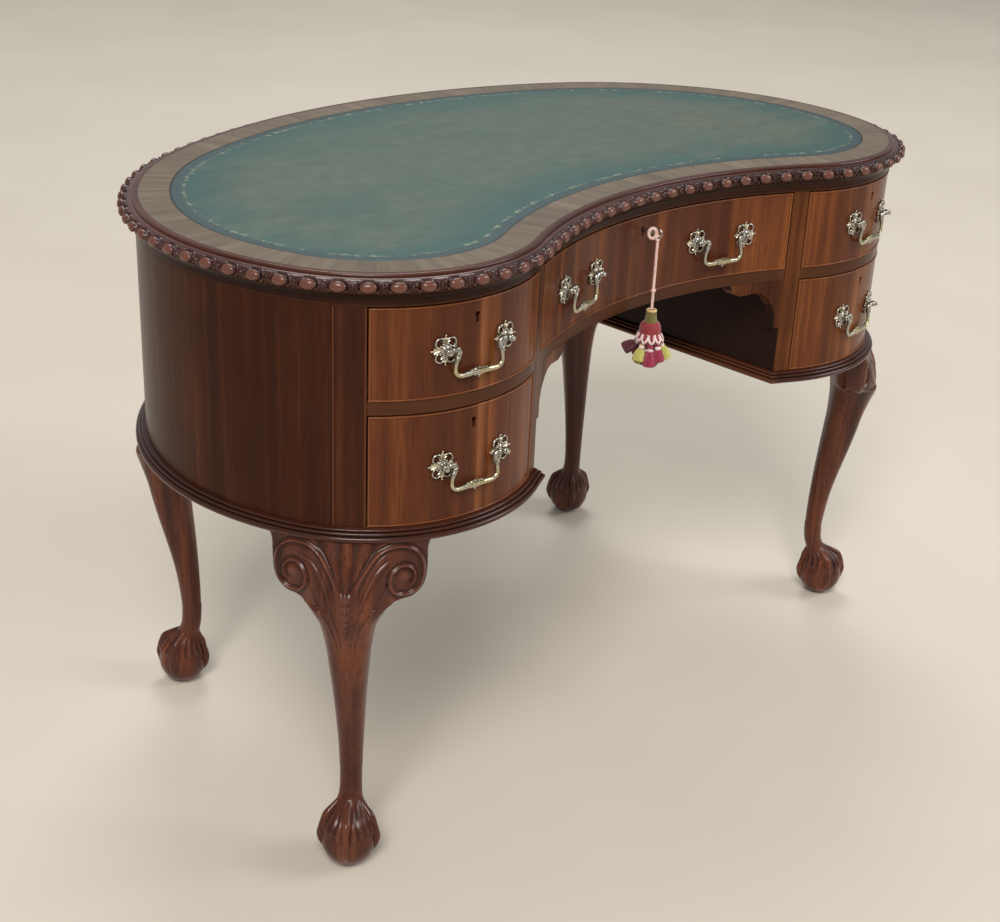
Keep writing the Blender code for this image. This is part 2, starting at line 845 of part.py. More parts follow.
def make_leg(name, degrees, side, lean, desk):
    station = station_at_turn(degrees) * side
    point = wall_point(station)
    normal = wall_normal(station)
    leg = loft(name, leg_loops(lean), "mahogany", smooth=True)
    leg.location = (point.x, point.y, 0.0)
    leg.rotation_euler.z = math.atan2(normal.x, -normal.y)
    leg.parent = desk
    combine(leg, loft(f"{name}_ears", ear_loops(station), "mahogany"), "UNION")
    return leg


# Locks


def lock_frame(station, height):
    """Frame at a drawer front's inner face: X along the wall, Y inwards, Z up, origin at the keyhole."""
    point = wall_point(station, -WALL)
    normal = wall_normal(station)
    turn = Matrix.Rotation(math.atan2(normal.x, -normal.y), 4, "Z")
    return Matrix.Translation((point.x, point.y, height)) @ turn


def keyhole_outline(clearance=0.0):
    """A round hole with a slot hanging from it, as points in X and Z."""
    radius = KEYHOLE_RADIUS + clearance
    half_slot = KEYHOLE_SLOT_WIDTH / 2 + clearance
    start = -math.pi / 2 + math.asin(half_slot / radius)
    end = math.pi * 3 / 2 - math.asin(half_slot / radius)
    points = []
    for step in range(ROUND_SIDES + 1):
        angle = start + (end - start) * step / ROUND_SIDES
        points.append((radius * math.cos(angle), radius * math.sin(angle)))
    foot = -KEYHOLE_SLOT_LENGTH - clearance
    return points + [(-half_slot, foot), (half_slot, foot)]


def keyhole_cutter(name, frame, near, far, clearance=0.0):
    """A keyhole shaped cutter between two depths of a lock frame, outwards counted as positive."""
    loops = []
    for depth in (near, far):
        loops.append([frame @ Vector((x, -depth, z)) for x, z in keyhole_outline(clearance)])
    return loft(name, loops, "mahogany")


def frame_box(name, frame, low, high, material):
    """A box given in a frame."""
    obj = box(name, low, high, material)
    obj.matrix_basis = frame
    return obj


def bolt_block(name, low, high, clearance):
    """The centre lock's bolt between two heights, or the slot that it runs in."""
    frame = lock_frame(HALF_RUN, 0.0)
    half = BOLT_WIDTH / 2 + clearance
    near = -LOCK_DEPTH / 2 - BOLT_THICKNESS / 2 - clearance
    far = -LOCK_DEPTH / 2 + BOLT_THICKNESS / 2 + clearance
    return frame_box(name, frame, (-half, near, low), (half, far, high), "steel")


def make_lock(name, station, top, carrier, with_bolt):
    """Lock let into the back of a drawer front, hollow where the key's bit turns."""
    frame = lock_frame(station, top - KEYHOLE_DROP)
    half = LOCK_WIDTH / 2
    low = (-half, -LOCK_DEPTH, KEYHOLE_DROP - LOCK_HEIGHT)
    lock = frame_box(name, frame, low, (half, -LOCK_CLEARANCE, KEYHOLE_DROP), "brass")
    lock.parent = carrier
    lock.matrix_basis = Matrix.Translation(-carrier.location) @ frame
    spin = frame @ Matrix.Rotation(math.pi / 2, 4, "X")
    depths = (LOCK_DEPTH - CHAMBER_WALL, CHAMBER_WALL)
    profile = [(CHAMBER_RADIUS, depth) for depth in depths]
    combine(lock, loft(f"{name}_chamber", turned(profile, TURNED_SIDES, spin), "steel"), "DIFFERENCE")
    mouth_start = LOCK_DEPTH - CHAMBER_WALL - MOUTH_OVERLAP
    mouth = keyhole_cutter(f"{name}_mouth", frame, mouth_start, LOCK_DEPTH + OVERRUN)
    combine(lock, mouth, "DIFFERENCE")
    if with_bolt:
        slot_low = top - BOLT_HEIGHT - LOCK_CLEARANCE * 2
        slot = bolt_block(f"{name}_slot", slot_low, top + OVERRUN, LOCK_CLEARANCE)
        combine(lock, slot, "DIFFERENCE")
    return lock


def lock_pocket(name, station, top):
    frame = lock_frame(station, top - KEYHOLE_DROP)
    half = LOCK_WIDTH / 2 + LOCK_CLEARANCE
    low = (-half, -LOCK_DEPTH - LOCK_CLEARANCE, KEYHOLE_DROP - LOCK_HEIGHT - LOCK_CLEARANCE)
    return frame_box(name, frame, low, (half, OVERRUN, KEYHOLE_DROP + OVERRUN), "mahogany")


# Handles


def rosette_outline():
    """A quatrefoil with a pointed tip between the foils, as points in X and Z."""
    points = []
    for quarter, degrees in enumerate(FOIL_DIRECTIONS):
        middle = math.radians(degrees)
        tip = math.radians(90 * quarter)
        after = math.radians(90 * (quarter + 1))
        points.append((ROSETTE_TIP * math.cos(tip), ROSETTE_TIP * math.sin(tip)))
        notch = tip + (middle - tip) * ROSETTE_NOTCH_SHARE
        points.append((ROSETTE_NOTCH * math.cos(notch), ROSETTE_NOTCH * math.sin(notch)))
        for turn in (-math.pi / 3, 0.0, math.pi / 3):
            x = FOIL_DISTANCE * math.cos(middle) + FOIL_RADIUS * math.cos(middle + turn)
            z = FOIL_DISTANCE * math.sin(middle) + FOIL_RADIUS * math.sin(middle + turn)
            points.append((x, z))
        notch = after + (middle - after) * ROSETTE_NOTCH_SHARE
        points.append((ROSETTE_NOTCH * math.cos(notch), ROSETTE_NOTCH * math.sin(notch)))
    return points


def rosette_mesh(tilt):
    """A pierced rosette with its post and bolt. The bail's pin enters the post's head at this tilt."""
    front = -ROSETTE_THICKNESS
    plate_loops = [[Vector((x, y, z)) for x, z in rosette_outline()] for y in (0.0, front)]
    plate = loft("rosette_plate", plate_loops, "brass")
    spin = Matrix.Rotation(math.pi / 2, 4, "X")
    head = PIVOT_OUT - HEAD_HALF_LENGTH
    profile = (
        (BOLT_SHANK_RADIUS, -WALL),
        (BOLT_SHANK_RADIUS, ROSETTE_THICKNESS / 2),
        (BOSS_RADIUS, ROSETTE_THICKNESS / 2),
        (BOSS_RADIUS, ROSETTE_THICKNESS * 2),
        (NECK_RADIUS, head - ROSETTE_THICKNESS / 2),
        (HEAD_RADIUS, head),
        (HEAD_RADIUS, PIVOT_OUT + HEAD_HALF_LENGTH),
        (KNOB_RADIUS / 2, PIVOT_OUT + HEAD_HALF_LENGTH),
        (KNOB_RADIUS, PIVOT_OUT + HEAD_HALF_LENGTH + KNOB_LENGTH / 2),
        (KNOB_RADIUS / 2, PIVOT_OUT + HEAD_HALF_LENGTH + KNOB_LENGTH),
    )
    combine(plate, loft("rosette_post", turned(profile, ROUND_SIDES, spin), "brass"), "UNION")
    hole = ((FOIL_HOLE_RADIUS, -OVERRUN), (FOIL_HOLE_RADIUS, OVERRUN))
    for number, degrees in enumerate(FOIL_DIRECTIONS):
        angle = math.radians(degrees)
        middle = Vector((math.cos(angle), 0.0, math.sin(angle))) * FOIL_DISTANCE
        loops = turned(hole, SMALL_HOLE_SIDES, Matrix.Translation(middle) @ spin)
        combine(plate, loft(f"foil_hole_{number}", loops, "brass"), "DIFFERENCE")
    pin_radius = PIN_RADIUS + PIN_CLEARANCE
    pin = ((pin_radius, -HEAD_RADIUS - OVERRUN), (pin_radius, HEAD_RADIUS + OVERRUN))
    along = Matrix.Translation((0.0, -PIVOT_OUT, 0.0)) @ Matrix.Rotation(tilt, 4, "Z")
    along = along @ Matrix.Rotation(math.pi / 2, 4, "Y")
    combine(plate, loft("pin_hole", turned(pin, ROUND_SIDES, along), "brass"), "DIFFERENCE")
    return baked_mesh(plate)


def bail_points(half_span):
    """The bail's centre line from its left pin to its right one, with the bar's radius at each point."""
    half = []
    for inward, low, thick in BAIL_NECK_SHARES:
        radius = PIN_RADIUS + (BAIL_RADIUS - PIN_RADIUS) * thick
        half.append((BAIL_DROP * inward - half_span, -BAIL_DROP * low, radius))
    plain = half[-1][0]
    swelling = (BAIL_RADIUS + BAIL_MIDDLE_RADIUS) / 2
    half.append((plain / 2, -BAIL_DROP * BAIL_RISE_SHARE, swelling))
    middle = [(0.0, -BAIL_DROP * BAIL_RISE_SHARE, BAIL_MIDDLE_RADIUS)]
    return half + middle + [(-x, z, radius) for x, z, radius in reversed(half)]


def make_bail(name, middle, angle, half_span, carrier):
    """A swan neck bail that swings about its pins. Its origin lies on their axis."""
    curve = bpy.data.curves.new(name, "CURVE")
    curve.dimensions = "3D"
    curve.bevel_depth = 1.0
    curve.bevel_resolution = 1
    curve.use_fill_caps = True
    curve.materials.append(finish("brass"))
    points = bail_points(half_span)
    spline = curve.splines.new("POLY")
    spline.points.add(len(points) - 1)
    for spot, (x, z, radius) in zip(spline.points, points):
        spot.co = (x, 0.0, z, 1.0)
        spot.radius = radius
    bail = bpy.data.objects.new(name, curve)
    bpy.context.scene.collection.objects.link(bail)
    bail.location = middle
    bail.rotation_euler.z = angle
    return place(bail, carrier)


def make_handle(name, station, height, front, carrier):
    """Two rosettes with posts, their bolts through the drawer front, and the bail between them."""
    stations = [station - POST_HALF_SPAN, station + POST_HALF_SPAN]
    stations.sort(key=lambda at: wall_point(at).x)
    heads = [wall_point(at, PIVOT_OUT + ROSETTE_GAP) for at in stations]
    span = heads[1] - heads[0]
    chord_angle = math.atan2(span.y, span.x)
    for label, at in zip(("left", "right"), stations):
        normal = wall_normal(at)
        foot = wall_point(at, ROSETTE_GAP)
        angle = math.atan2(normal.x, -normal.y)
        rosette = new_object(f"{name}_{label}_rosette", rosette_mesh(chord_angle - angle), "brass")
        rosette.location = (foot.x, foot.y, height)
        rosette.rotation_euler.z = angle
        place(rosette, carrier)
        at_foot = Matrix.Translation((foot.x, foot.y, height)) @ Matrix.Rotation(angle, 4, "Z")
        spin = at_foot @ Matrix.Rotation(math.pi / 2, 4, "X")
        hole = BOLT_SHANK_RADIUS + BOLT_HOLE_CLEARANCE
        bore = turned(((hole, OVERRUN), (hole, -WALL - OVERRUN)), ROUND_SIDES, spin)
        combine(front, loft(f"{name}_{label}_bore", bore, "mahogany"), "DIFFERENCE")
    middle = (heads[0] + heads[1]) / 2
    make_bail(f"{name}_bail", (middle.x, middle.y, height), chord_angle, span.length / 2, carrier)


# Drawers


def make_drawer_front(name, outer, inner, recess, low, high, station, carrier):
    """Curved front with a cock bead standing proud round its edge, a keyhole and the lock's pocket."""
    front = prism(f"{name}_drawer_front", outer + inner, low, high, "mahogany")
    place(front, carrier)
    field = prism(f"{name}_field", recess, low + COCK_BEAD_WIDTH, high - COCK_BEAD_WIDTH, "mahogany")
    combine(front, field, "DIFFERENCE")
    frame = lock_frame(station, high - KEYHOLE_DROP)
    combine(front, lock_pocket(f"{name}_pocket", station, high), "DIFFERENCE")
    keyhole = keyhole_cutter(f"{name}_keyhole", frame, LOCK_DEPTH - OVERRUN, WALL + OVERRUN)
    combine(front, keyhole, "DIFFERENCE")
    return front


def make_drawer_box(name, front_plan, rear, low, high, carrier):
    """Sides, back and bottom of a drawer, open at the front, where the drawer front closes it."""
    first = front_plan[0]
    last = front_plan[-1]
    plan = front_plan + [Vector((last.x, rear)), Vector((first.x, rear))]
    tray = prism(f"{name}_drawer_box", plan, low, high, "drawer_lining")
    place(tray, carrier)
    left = min(first.x, last.x) + DRAWER_SIDE
    right = max(first.x, last.x) - DRAWER_SIDE
    front = min(point.y for point in front_plan) - OVERRUN
    inside_low = (left, front, low + DRAWER_BOTTOM)
    inside_high = (right, rear - DRAWER_SIDE, high + OVERRUN)
    inside = box(f"{name}_inside", inside_low, inside_high, "drawer_lining")
    combine(tray, inside, "DIFFERENCE")
    return tray


def drawer_carrier(name, station, height, desk):
    point = wall_point(station)
    return empty(f"{name}_drawer_slide", (point.x, point.y, height), desk)


def drawer_levels(underside, overside):
    return underside + DRAWER_FOOT_GAP, overside - DRAWER_TOP_GAP


def make_pedestal_drawer(name, side, underside, overside, desk):
    low, high = drawer_levels(underside, overside)
    outer_x = POST_EDGE - DRAWER_GAP
    inner_x = STILE_EDGE + DRAWER_GAP
    outer = on_side(front_run(outer_x, inner_x, COCK_BEAD_PROUD), side)
    inner = on_side(reversed(front_run(outer_x, inner_x, -WALL)), side)
    recess = front_run(outer_x - COCK_BEAD_WIDTH, inner_x + COCK_BEAD_WIDTH, 0.0)
    recess += reversed(front_run(outer_x - COCK_BEAD_WIDTH, inner_x + COCK_BEAD_WIDTH, OVERRUN))
    recess = on_side(recess, side)
    station = (front_station(POST_EDGE) + front_station(STILE_EDGE)) / 2 * side
    height = low + (high - low) * HANDLE_HEIGHT_SHARE
    carrier = drawer_carrier(name, station, height, desk)
    front = make_drawer_front(name, outer, inner, recess, low, high, station, carrier)
    box_outer = POST_EDGE - DRAWER_SIDE_CLEARANCE
    box_inner = STILE_EDGE + DRAWER_SIDE_CLEARANCE
    rear = wall_point(rear_station(POST_EDGE, INNER_FACE), INNER_FACE).y - DRAWER_REAR_CLEARANCE
    plan = on_side(front_run(box_outer, box_inner, INNER_FACE), side)
    make_drawer_box(name, plan, rear, low, high - DRAWER_BOX_DROP, carrier)
    make_lock(f"{name}_lock", station, high, carrier, with_bolt=False)
    make_handle(name, station, height, front, carrier)


def make_centre_drawer(desk):
    low, high = drawer_levels(SHELF_TOP, FRAME_UNDERSIDE)
    x = KNEEHOLE_HALF - DRAWER_GAP
    outer = across_front(x, COCK_BEAD_PROUD)
    inner = list(reversed(across_front(x, -WALL)))
    recess = across_front(x - COCK_BEAD_WIDTH, 0.0)
    recess += reversed(across_front(x - COCK_BEAD_WIDTH, OVERRUN))
    height = low + (high - low) * HANDLE_HEIGHT_SHARE
    carrier = drawer_carrier("centre", HALF_RUN, height, desk)
    front = make_drawer_front("centre", outer, inner, recess, low, high, HALF_RUN, carrier)
    box_x = KNEEHOLE_HALF - DRAWER_SIDE_CLEARANCE
    rear = wall_point(rear_station(KNEEHOLE_HALF, INNER_FACE), INNER_FACE).y - DRAWER_REAR_CLEARANCE
    make_drawer_box("centre", across_front(box_x, INNER_FACE), rear, low, high - DRAWER_BOX_DROP, carrier)
    make_lock("centre_lock", HALF_RUN, high, carrier, with_bolt=True)
    for name, side in SIDES:
        at = front_station(KNEEHOLE_HALF * CENTRE_HANDLE_SHARE) * side
        make_handle(f"centre_{name}", at, height, front, carrier)
    bolt = bolt_block("centre_lock_bolt", high - BOLT_HEIGHT, high - LOCK_CLEARANCE, 0.0)
    place(bolt, carrier)
    make_key_and_tassel(high - KEYHOLE_DROP, carrier)


# Key and tassel


def make_key_and_tassel(height, carrier):
    """Key in the centre lock, turning about Y, with a tassel on a cord hung from its bow."""
    face = wall_point(HALF_RUN).y
    key_axis = Vector((0.0, face, height))
    spin = Matrix.Rotation(math.pi / 2, 4, "X")
    inner_end = -(WALL - CHAMBER_WALL - LOCK_CLEARANCE * 2)
    ring_centre = BOW_OUT + BOW_RADIUS
    profile = ((SHANK_RADIUS, inner_end), (SHANK_RADIUS, BOW_OUT + BOW_WIRE))
    key = loft("key", turned(profile, ROUND_SIDES, spin), "steel", smooth=True)
    key.location = key_axis
    place(key, carrier)
    bow_loops = []
    for step in range(RING_SIDES):
        angle = math.tau * step / RING_SIDES
        centre = Vector((0.0, -ring_centre, 0.0))
        out = Vector((0.0, math.cos(angle), math.sin(angle)))
        loop = []
        for side in range(ROUND_SIDES):
            lean = math.tau * side / ROUND_SIDES
            across = Vector((BOW_WIRE * math.sin(lean), 0.0, 0.0))
            loop.append(centre + out * (BOW_RADIUS - BOW_WIRE + BOW_WIRE * math.cos(lean)) + across)
        bow_loops.append(loop)
    bow = loft("key_bow", bow_loops, "steel", ring=True, smooth=True)
    bow.location = key_axis
    combine(key, bow, "UNION")
    half = BIT_THICKNESS / 2
    bit_low = (-half, -inner_end - BIT_WIDTH, -BIT_LENGTH)
    bit_high = (half, -inner_end - SEAM, 0.0)
    bit = box("key_bit", bit_low, bit_high, "steel")
    bit.location = key_axis
    combine(key, bit, "UNION")
    hang = key_axis + Vector((0.0, -ring_centre, -BOW_RADIUS - SEAM))
    make_cord(hang, key_axis, carrier)
    make_tassel(hang - Vector((0.0, 0.0, CORD_LENGTH + SEAM)), key_axis, carrier)


def make_cord(top, axis, carrier):
    curve = bpy.data.curves.new("tassel_cord", "CURVE")
    curve.dimensions = "3D"
    curve.bevel_depth = CORD_DIAMETER / 2
    curve.bevel_resolution = 2
    curve.use_fill_caps = True
    curve.materials.append(finish("cord"))
    count = max(2, round(CORD_LENGTH / CORD_DIAMETER / CORD_SPACING))
    spline = curve.splines.new("POLY")
    spline.points.add(count)
    for step, spot in enumerate(spline.points):
        down = Vector((0.0, 0.0, CORD_LENGTH * step / count))
        spot.co = (*(top - axis - down), 1.0)
    cord = bpy.data.objects.new("tassel_cord", curve)
    bpy.context.scene.collection.objects.link(cord)
    cord.location = axis
    return place(cord, carrier)


def make_tassel(top, axis, carrier):
    profile = [(TASSEL_RADIUS * out, -TASSEL_LENGTH * down) for out, down in TASSEL_SHARES]
    at = Matrix.Translation(top - axis)
    tassel = loft("tassel", turned(profile, TURNED_SIDES, at), "tassel", smooth=True)
    tassel.location = axis
    return place(tassel, carrier)


# The desk


def centre_over_origin(desk):
    """Moves the desk so that its box, without the tassel and its cord, is centred over the origin."""
    bpy.context.view_layer.update()
    graph = bpy.context.evaluated_depsgraph_get()
    spots = []
    for obj in bpy.data.objects:
        if obj.type == "EMPTY" or obj.hide_render or obj.name.startswith("tassel"):
            continue
        solid = obj.evaluated_get(graph)
        spots += [solid.matrix_world @ vertex.co for vertex in solid.to_mesh().vertices]
        solid.to_mesh_clear()
    low = Vector(min(spot[axis] for spot in spots) for axis in range(3))
    high = Vector(max(spot[axis] for spot in spots) for axis in range(3))
    desk.location = (-(low.x + high.x) / 2, -(low.y + high.y) / 2, 0.0)


def main():
    clear_scene()
    desk = empty("desk", (0.0, 0.0, 0.0))
    fixed = [make_top_board(), make_leather(), make_edge_moulding()]
    make_top_frame(desk)
    back_edge = station_at_turn(BACK_PANEL_TURN)
    fixed.append(make_wall_panel("back_panel", -back_edge, back_edge))
    fixed.append(make_wall_panel("right_side_panel", back_edge + SEAM, POST_START - SEAM))
    fixed.append(make_wall_panel("left_side_panel", SEAM - POST_START, -back_edge - SEAM))
    fixed += [make_centre_shelf(), make_rear_base_rail()]
    for name, side in SIDES:
        fixed.append(make_front_post(f"{name}_front_post", side))
        fixed.append(make_kneehole_side(f"{name}_kneehole_side", side))
        fixed.append(make_bracket(f"{name}_kneehole_bracket", side))
        make_mid_shelf(f"{name}_mid_shelf", side, desk)
        make_base_board(f"{name}_base_board", side, desk)
        make_leg(f"front_{name}_leg", FRONT_LEG_TURN, side, 0.0, desk)
        make_leg(f"rear_{name}_leg", REAR_LEG_TURN, side, REAR_LEG_LEAN, desk)
        make_pedestal_drawer(f"upper_{name}", side, SHELF_TOP, FRAME_UNDERSIDE, desk)
        make_pedestal_drawer(f"lower_{name}", side, BASE_TOP, SHELF_UNDERSIDE, desk)
    for obj in fixed:
        obj.parent = desk
    make_centre_drawer(desk)
    centre_over_origin(desk)


main()
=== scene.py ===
"""Looks of the kidney shaped writing desk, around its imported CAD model.

Metres, +Z up, front towards -Y. A place on the case wall is given as in the part's source: its station along
the wall from the middle of the back, its offset outwards and its height.
"""

import bisect
import math

import bmesh
import bpy
from mathutils import Matrix, Vector, kdtree


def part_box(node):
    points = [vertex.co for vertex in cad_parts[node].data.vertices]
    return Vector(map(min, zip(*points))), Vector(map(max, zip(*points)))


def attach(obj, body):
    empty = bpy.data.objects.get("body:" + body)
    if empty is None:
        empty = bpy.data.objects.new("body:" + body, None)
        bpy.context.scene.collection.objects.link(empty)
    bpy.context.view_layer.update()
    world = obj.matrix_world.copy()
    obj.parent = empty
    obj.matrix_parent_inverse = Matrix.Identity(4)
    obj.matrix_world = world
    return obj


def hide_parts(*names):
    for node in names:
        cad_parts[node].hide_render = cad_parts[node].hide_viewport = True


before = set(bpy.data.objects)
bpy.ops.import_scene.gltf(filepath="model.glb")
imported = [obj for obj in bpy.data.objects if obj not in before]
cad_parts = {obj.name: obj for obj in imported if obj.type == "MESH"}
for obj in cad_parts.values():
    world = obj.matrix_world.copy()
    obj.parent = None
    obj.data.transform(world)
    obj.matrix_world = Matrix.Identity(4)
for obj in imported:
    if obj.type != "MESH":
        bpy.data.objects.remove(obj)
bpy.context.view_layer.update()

X_AXIS, Y_AXIS, Z_AXIS = Vector((1, 0, 0)), Vector((0, 1, 0)), Vector((0, 0, 1))
SIDES = (("left", -1), ("right", 1))

# Camera, as it stood for the photograph: yaw and pitch in degrees, roll in radians
CAMERA_PLACE = (-1.5745, -1.4865, 1.2983)
CAMERA_YAW = 46.81
CAMERA_PITCH = 24.84
CAMERA_ROLL = 0.0455
CAMERA_LENS = 58.394
SENSOR_WIDTH = 36

# Case wall seen from above, as arcs from the middle of the back to the front: radius, degrees and steps drawn
ARCS = ((0.857, 24.7, 40), (0.394, 36.9, 42), (0.337, 53.1, 48), (0.201, 93.9, 66))
HOLLOW_STEPS = 44
WALL_BACK = 0.3335
WALL = 0.020
SEAM = 0.0003
SPACING = 0.006

# Heights
DESK_HEIGHT = 0.762
TOP_UNDERSIDE = 0.7445
FRAME_UNDERSIDE = 0.725
SHELF_TOP = 0.6165
SHELF_UNDERSIDE = 0.601
BASE_TOP = 0.4655
BASE_UNDERSIDE = 0.4507

# Where the profiles of the mouldings begin, behind the wall's face
PROFILE_START = -0.004


def added(name, data):
    """A new object of the scene that shows this data."""
    obj = bpy.data.objects.new(name, data)
    bpy.context.scene.collection.objects.link(obj)
    return obj


# Lines and curves


def turned(one, two, turn):
    """Two directions at a right angle, turned in their plane."""
    return one * math.cos(turn) + two * math.sin(turn), two * math.cos(turn) - one * math.sin(turn)


def circle(middle, one, two, sides):
    """Points round a circle or an oval. one and two are its half axes."""
    turns = [math.tau * side / sides for side in range(sides)]
    return [middle + one * math.cos(turn) + two * math.sin(turn) for turn in turns]


def arc_points(middle, radius, start, end, steps):
    """Points of an arc as pairs, with its angles in degrees."""
    turns = [math.radians(start + (end - start) * step / steps) for step in range(steps + 1)]
    return [(middle[0] + radius * math.cos(turn), middle[1] + radius * math.sin(turn)) for turn in turns]


def spaced(start, end, spacing=SPACING):
    """Numbers from start to end, about this far apart."""
    count = max(1, math.ceil((end - start) / spacing))
    return [start + (end - start) * step / count for step in range(count + 1)]


def lengths_along(points):
    """The length of a line of points up to each of them."""
    lengths = [0.0]
    for one, two in zip(points, points[1:]):
        lengths.append(lengths[-1] + (two - one).length)
    return lengths


def direction(line, index):
    return (line[min(index + 1, len(line) - 1)] - line[max(index - 1, 0)]).normalized()


def smooth_curve(knots, count):
    """Points evenly along a smooth curve through the knots, and the curve's length."""
    points = []
    last = len(knots) - 1
    for index in range(last):
        a, b, c, d = [Vector(knots[min(max(at, 0), last)]) for at in range(index - 1, index + 3)]
        for step in range(12):
            t = step / 12
            cubic = (2 * a - 5 * b + 4 * c - d) * t * t + (3 * b - a - 3 * c + d) * t**3
            points.append(0.5 * (2 * b + (c - a) * t + cubic))
    points.append(Vector(knots[-1]))
    lengths = lengths_along(points)
    spread = []
    for step in range(count):
        along = lengths[-1] * step / (count - 1)
        index = min(bisect.bisect_right(lengths, along), len(lengths) - 1)
        share = (along - lengths[index - 1]) / (lengths[index] - lengths[index - 1])
        spread.append(points[index - 1].lerp(points[index], share))
    return spread, lengths[-1]


def tree_of(points):
    """Finds the nearest of some points seen in a plane."""
    tree = kdtree.KDTree(len(points))
    for index, point in enumerate(points):
        tree.insert((point[0], point[1], 0.0), index)
    tree.balance()
    return tree


def rise(value, low, high):
    """0 below low, 1 above high, and smooth between."""
    share = min(max((value - low) / (high - low), 0.0), 1.0)
    return share * share * (3 - 2 * share)


def bell(value, width):
    """1 at nought, falling off smoothly to both sides."""
    return math.exp(-((value / width) ** 2))


# The case wall


def normal_at(turn):
    return Vector((math.sin(turn), math.cos(turn)))


def wall_corners():
    """Places on the right half of the wall, from the middle of the back to the middle of the front."""
    turn = 0.0
    point = Vector((0, WALL_BACK))
    corners = [(point, normal_at(turn), turn)]
    for radius, degrees, steps in ARCS:
        centre = point - normal_at(turn) * radius
        start = turn
        for step in range(1, steps + 1):
            turn = start + math.radians(degrees) * step / steps
            point = centre + normal_at(turn) * radius
            corners.append((point, normal_at(turn), turn))
    hollow_radius = point.x / -math.sin(turn)
    centre = point + normal_at(turn) * hollow_radius
    start = turn
    for step in range(1, HOLLOW_STEPS + 1):
        turn = start + (math.pi - start) * step / HOLLOW_STEPS
        corners.append((centre - normal_at(turn) * hollow_radius, normal_at(turn), turn))
    return corners


CORNERS = wall_corners()
STATIONS = lengths_along([corner[0] for corner in CORNERS])
HALF_RUN = STATIONS[-1]
WHOLE_RUN = 2 * HALF_RUN


def wall_span(station):
    """The two corners beside a station, its share of the way between them, and the station itself.

    A station may run on past the middle of the front.
    """
    if station > HALF_RUN:
        station -= WHOLE_RUN
    along = abs(station)
    index = min(bisect.bisect_right(STATIONS, along), len(STATIONS) - 1)
    share = (along - STATIONS[index - 1]) / (STATIONS[index] - STATIONS[index - 1])
    return CORNERS[index - 1 : index + 1], share, station


def wall_point(station, offset=0.0):
    """The wall's point at this station, moved out by the offset."""
    corners, share, station = wall_span(station)
    one, two = [point + normal * offset for point, normal, _ in corners]
    point = one.lerp(two, share)
    return Vector((math.copysign(point.x, station), point.y))


def wall_normal(station):
    corners, share, station = wall_span(station)
    normal = corners[0][1].lerp(corners[1][1], share).normalized()
    return Vector((math.copysign(normal.x, normal.x * station), normal.y))


def station_at_turn(degrees):
    turn = math.radians(degrees)
    index = next(i for i, corner in enumerate(CORNERS) if corner[2] >= turn)
    share = (turn - CORNERS[index - 1][2]) / (CORNERS[index][2] - CORNERS[index - 1][2])
    return STATIONS[index - 1] + (STATIONS[index] - STATIONS[index - 1]) * share


def station_at_x(x, offset, low, high):
    """The station between low and high where the wall, moved out by the offset, crosses x."""
    rising = wall_point(high, offset).x > wall_point(low, offset).x
    for _ in range(50):
        middle = (low + high) / 2
        if (wall_point(middle, offset).x < x) == rising:
            low = middle
        else:
            high = middle
    return (low + high) / 2


WIDEST = station_at_turn(90)


def front_station(x, offset=0.0):
    return station_at_x(x, offset, WIDEST, HALF_RUN)


def rear_station(x, offset):
    return station_at_x(x, offset, 0.0, WIDEST)


def lift(station, offset, height):
    point = wall_point(station, offset)
    return Vector((point.x, point.y, height))


ALL_ROUND = spaced(-HALF_RUN, HALF_RUN)[:-1]

# Where the case's parts meet
FRONT_LEG_TURN = 132.0
REAR_LEG_TURN = 35.3
POST_STATION = station_at_turn(FRONT_LEG_TURN)
POST_WIDTH = 0.038
POST_START = POST_STATION - POST_WIDTH / 2
POST_EDGE = wall_point(POST_STATION + POST_WIDTH / 2).x
BACK_EDGE = station_at_turn(28.0)
KNEEHOLE_HALF = 0.2475
STILE_EDGE = 0.268
BEAD_WIDTH = 0.0028
BEAD_HEIGHT = 0.0012
VENEER_FACE = -0.0002
KEYHOLE_STATION = (front_station(POST_EDGE) + front_station(STILE_EDGE)) / 2

SPOTS = spaced(-HALF_RUN, HALF_RUN, 0.002)
WALL_TREE = tree_of([wall_point(station) for station in SPOTS])


def wall_place(point):
    """The station and the offset of a point."""
    spot, index, _ = WALL_TREE.find((point[0], point[1], 0.0))
    normal = wall_normal(SPOTS[index])
    gap = Vector((point[0] - spot.x, point[1] - spot.y))
    return SPOTS[index] + gap.dot(Vector((normal.y, -normal.x))), gap.dot(normal)


def mark_grain(mesh):
    """Keeps each corner's place on the wall in the attribute that the wood's grain follows."""
    places = [wall_place(vertex.co) for vertex in mesh.vertices]
    grain = mesh.attributes.new("grain", "FLOAT_VECTOR", "CORNER")
    for polygon in mesh.polygons:
        stations = [places[index][0] for index in polygon.vertices]
        wraps = max(stations) - min(stations) > HALF_RUN
        for loop, index, station in zip(polygon.loop_indices, polygon.vertices, stations):
            if wraps and station < 0:
                station += WHOLE_RUN
            grain.data[loop].vector = (station, places[index][1], mesh.vertices[index].co.z)


def mark_points(mesh, values, name="relief"):
    """Keeps a number from -1 to 1 for each point, for its colour. Points past the list have 0.

    The relief is a point's height over the carving's ground.
    """
    marks = mesh.attributes.new(name, "FLOAT", "POINT")
    for mark, value in zip(marks.data, values):
        mark.value = min(max(value, -1.0), 1.0)


# Camera


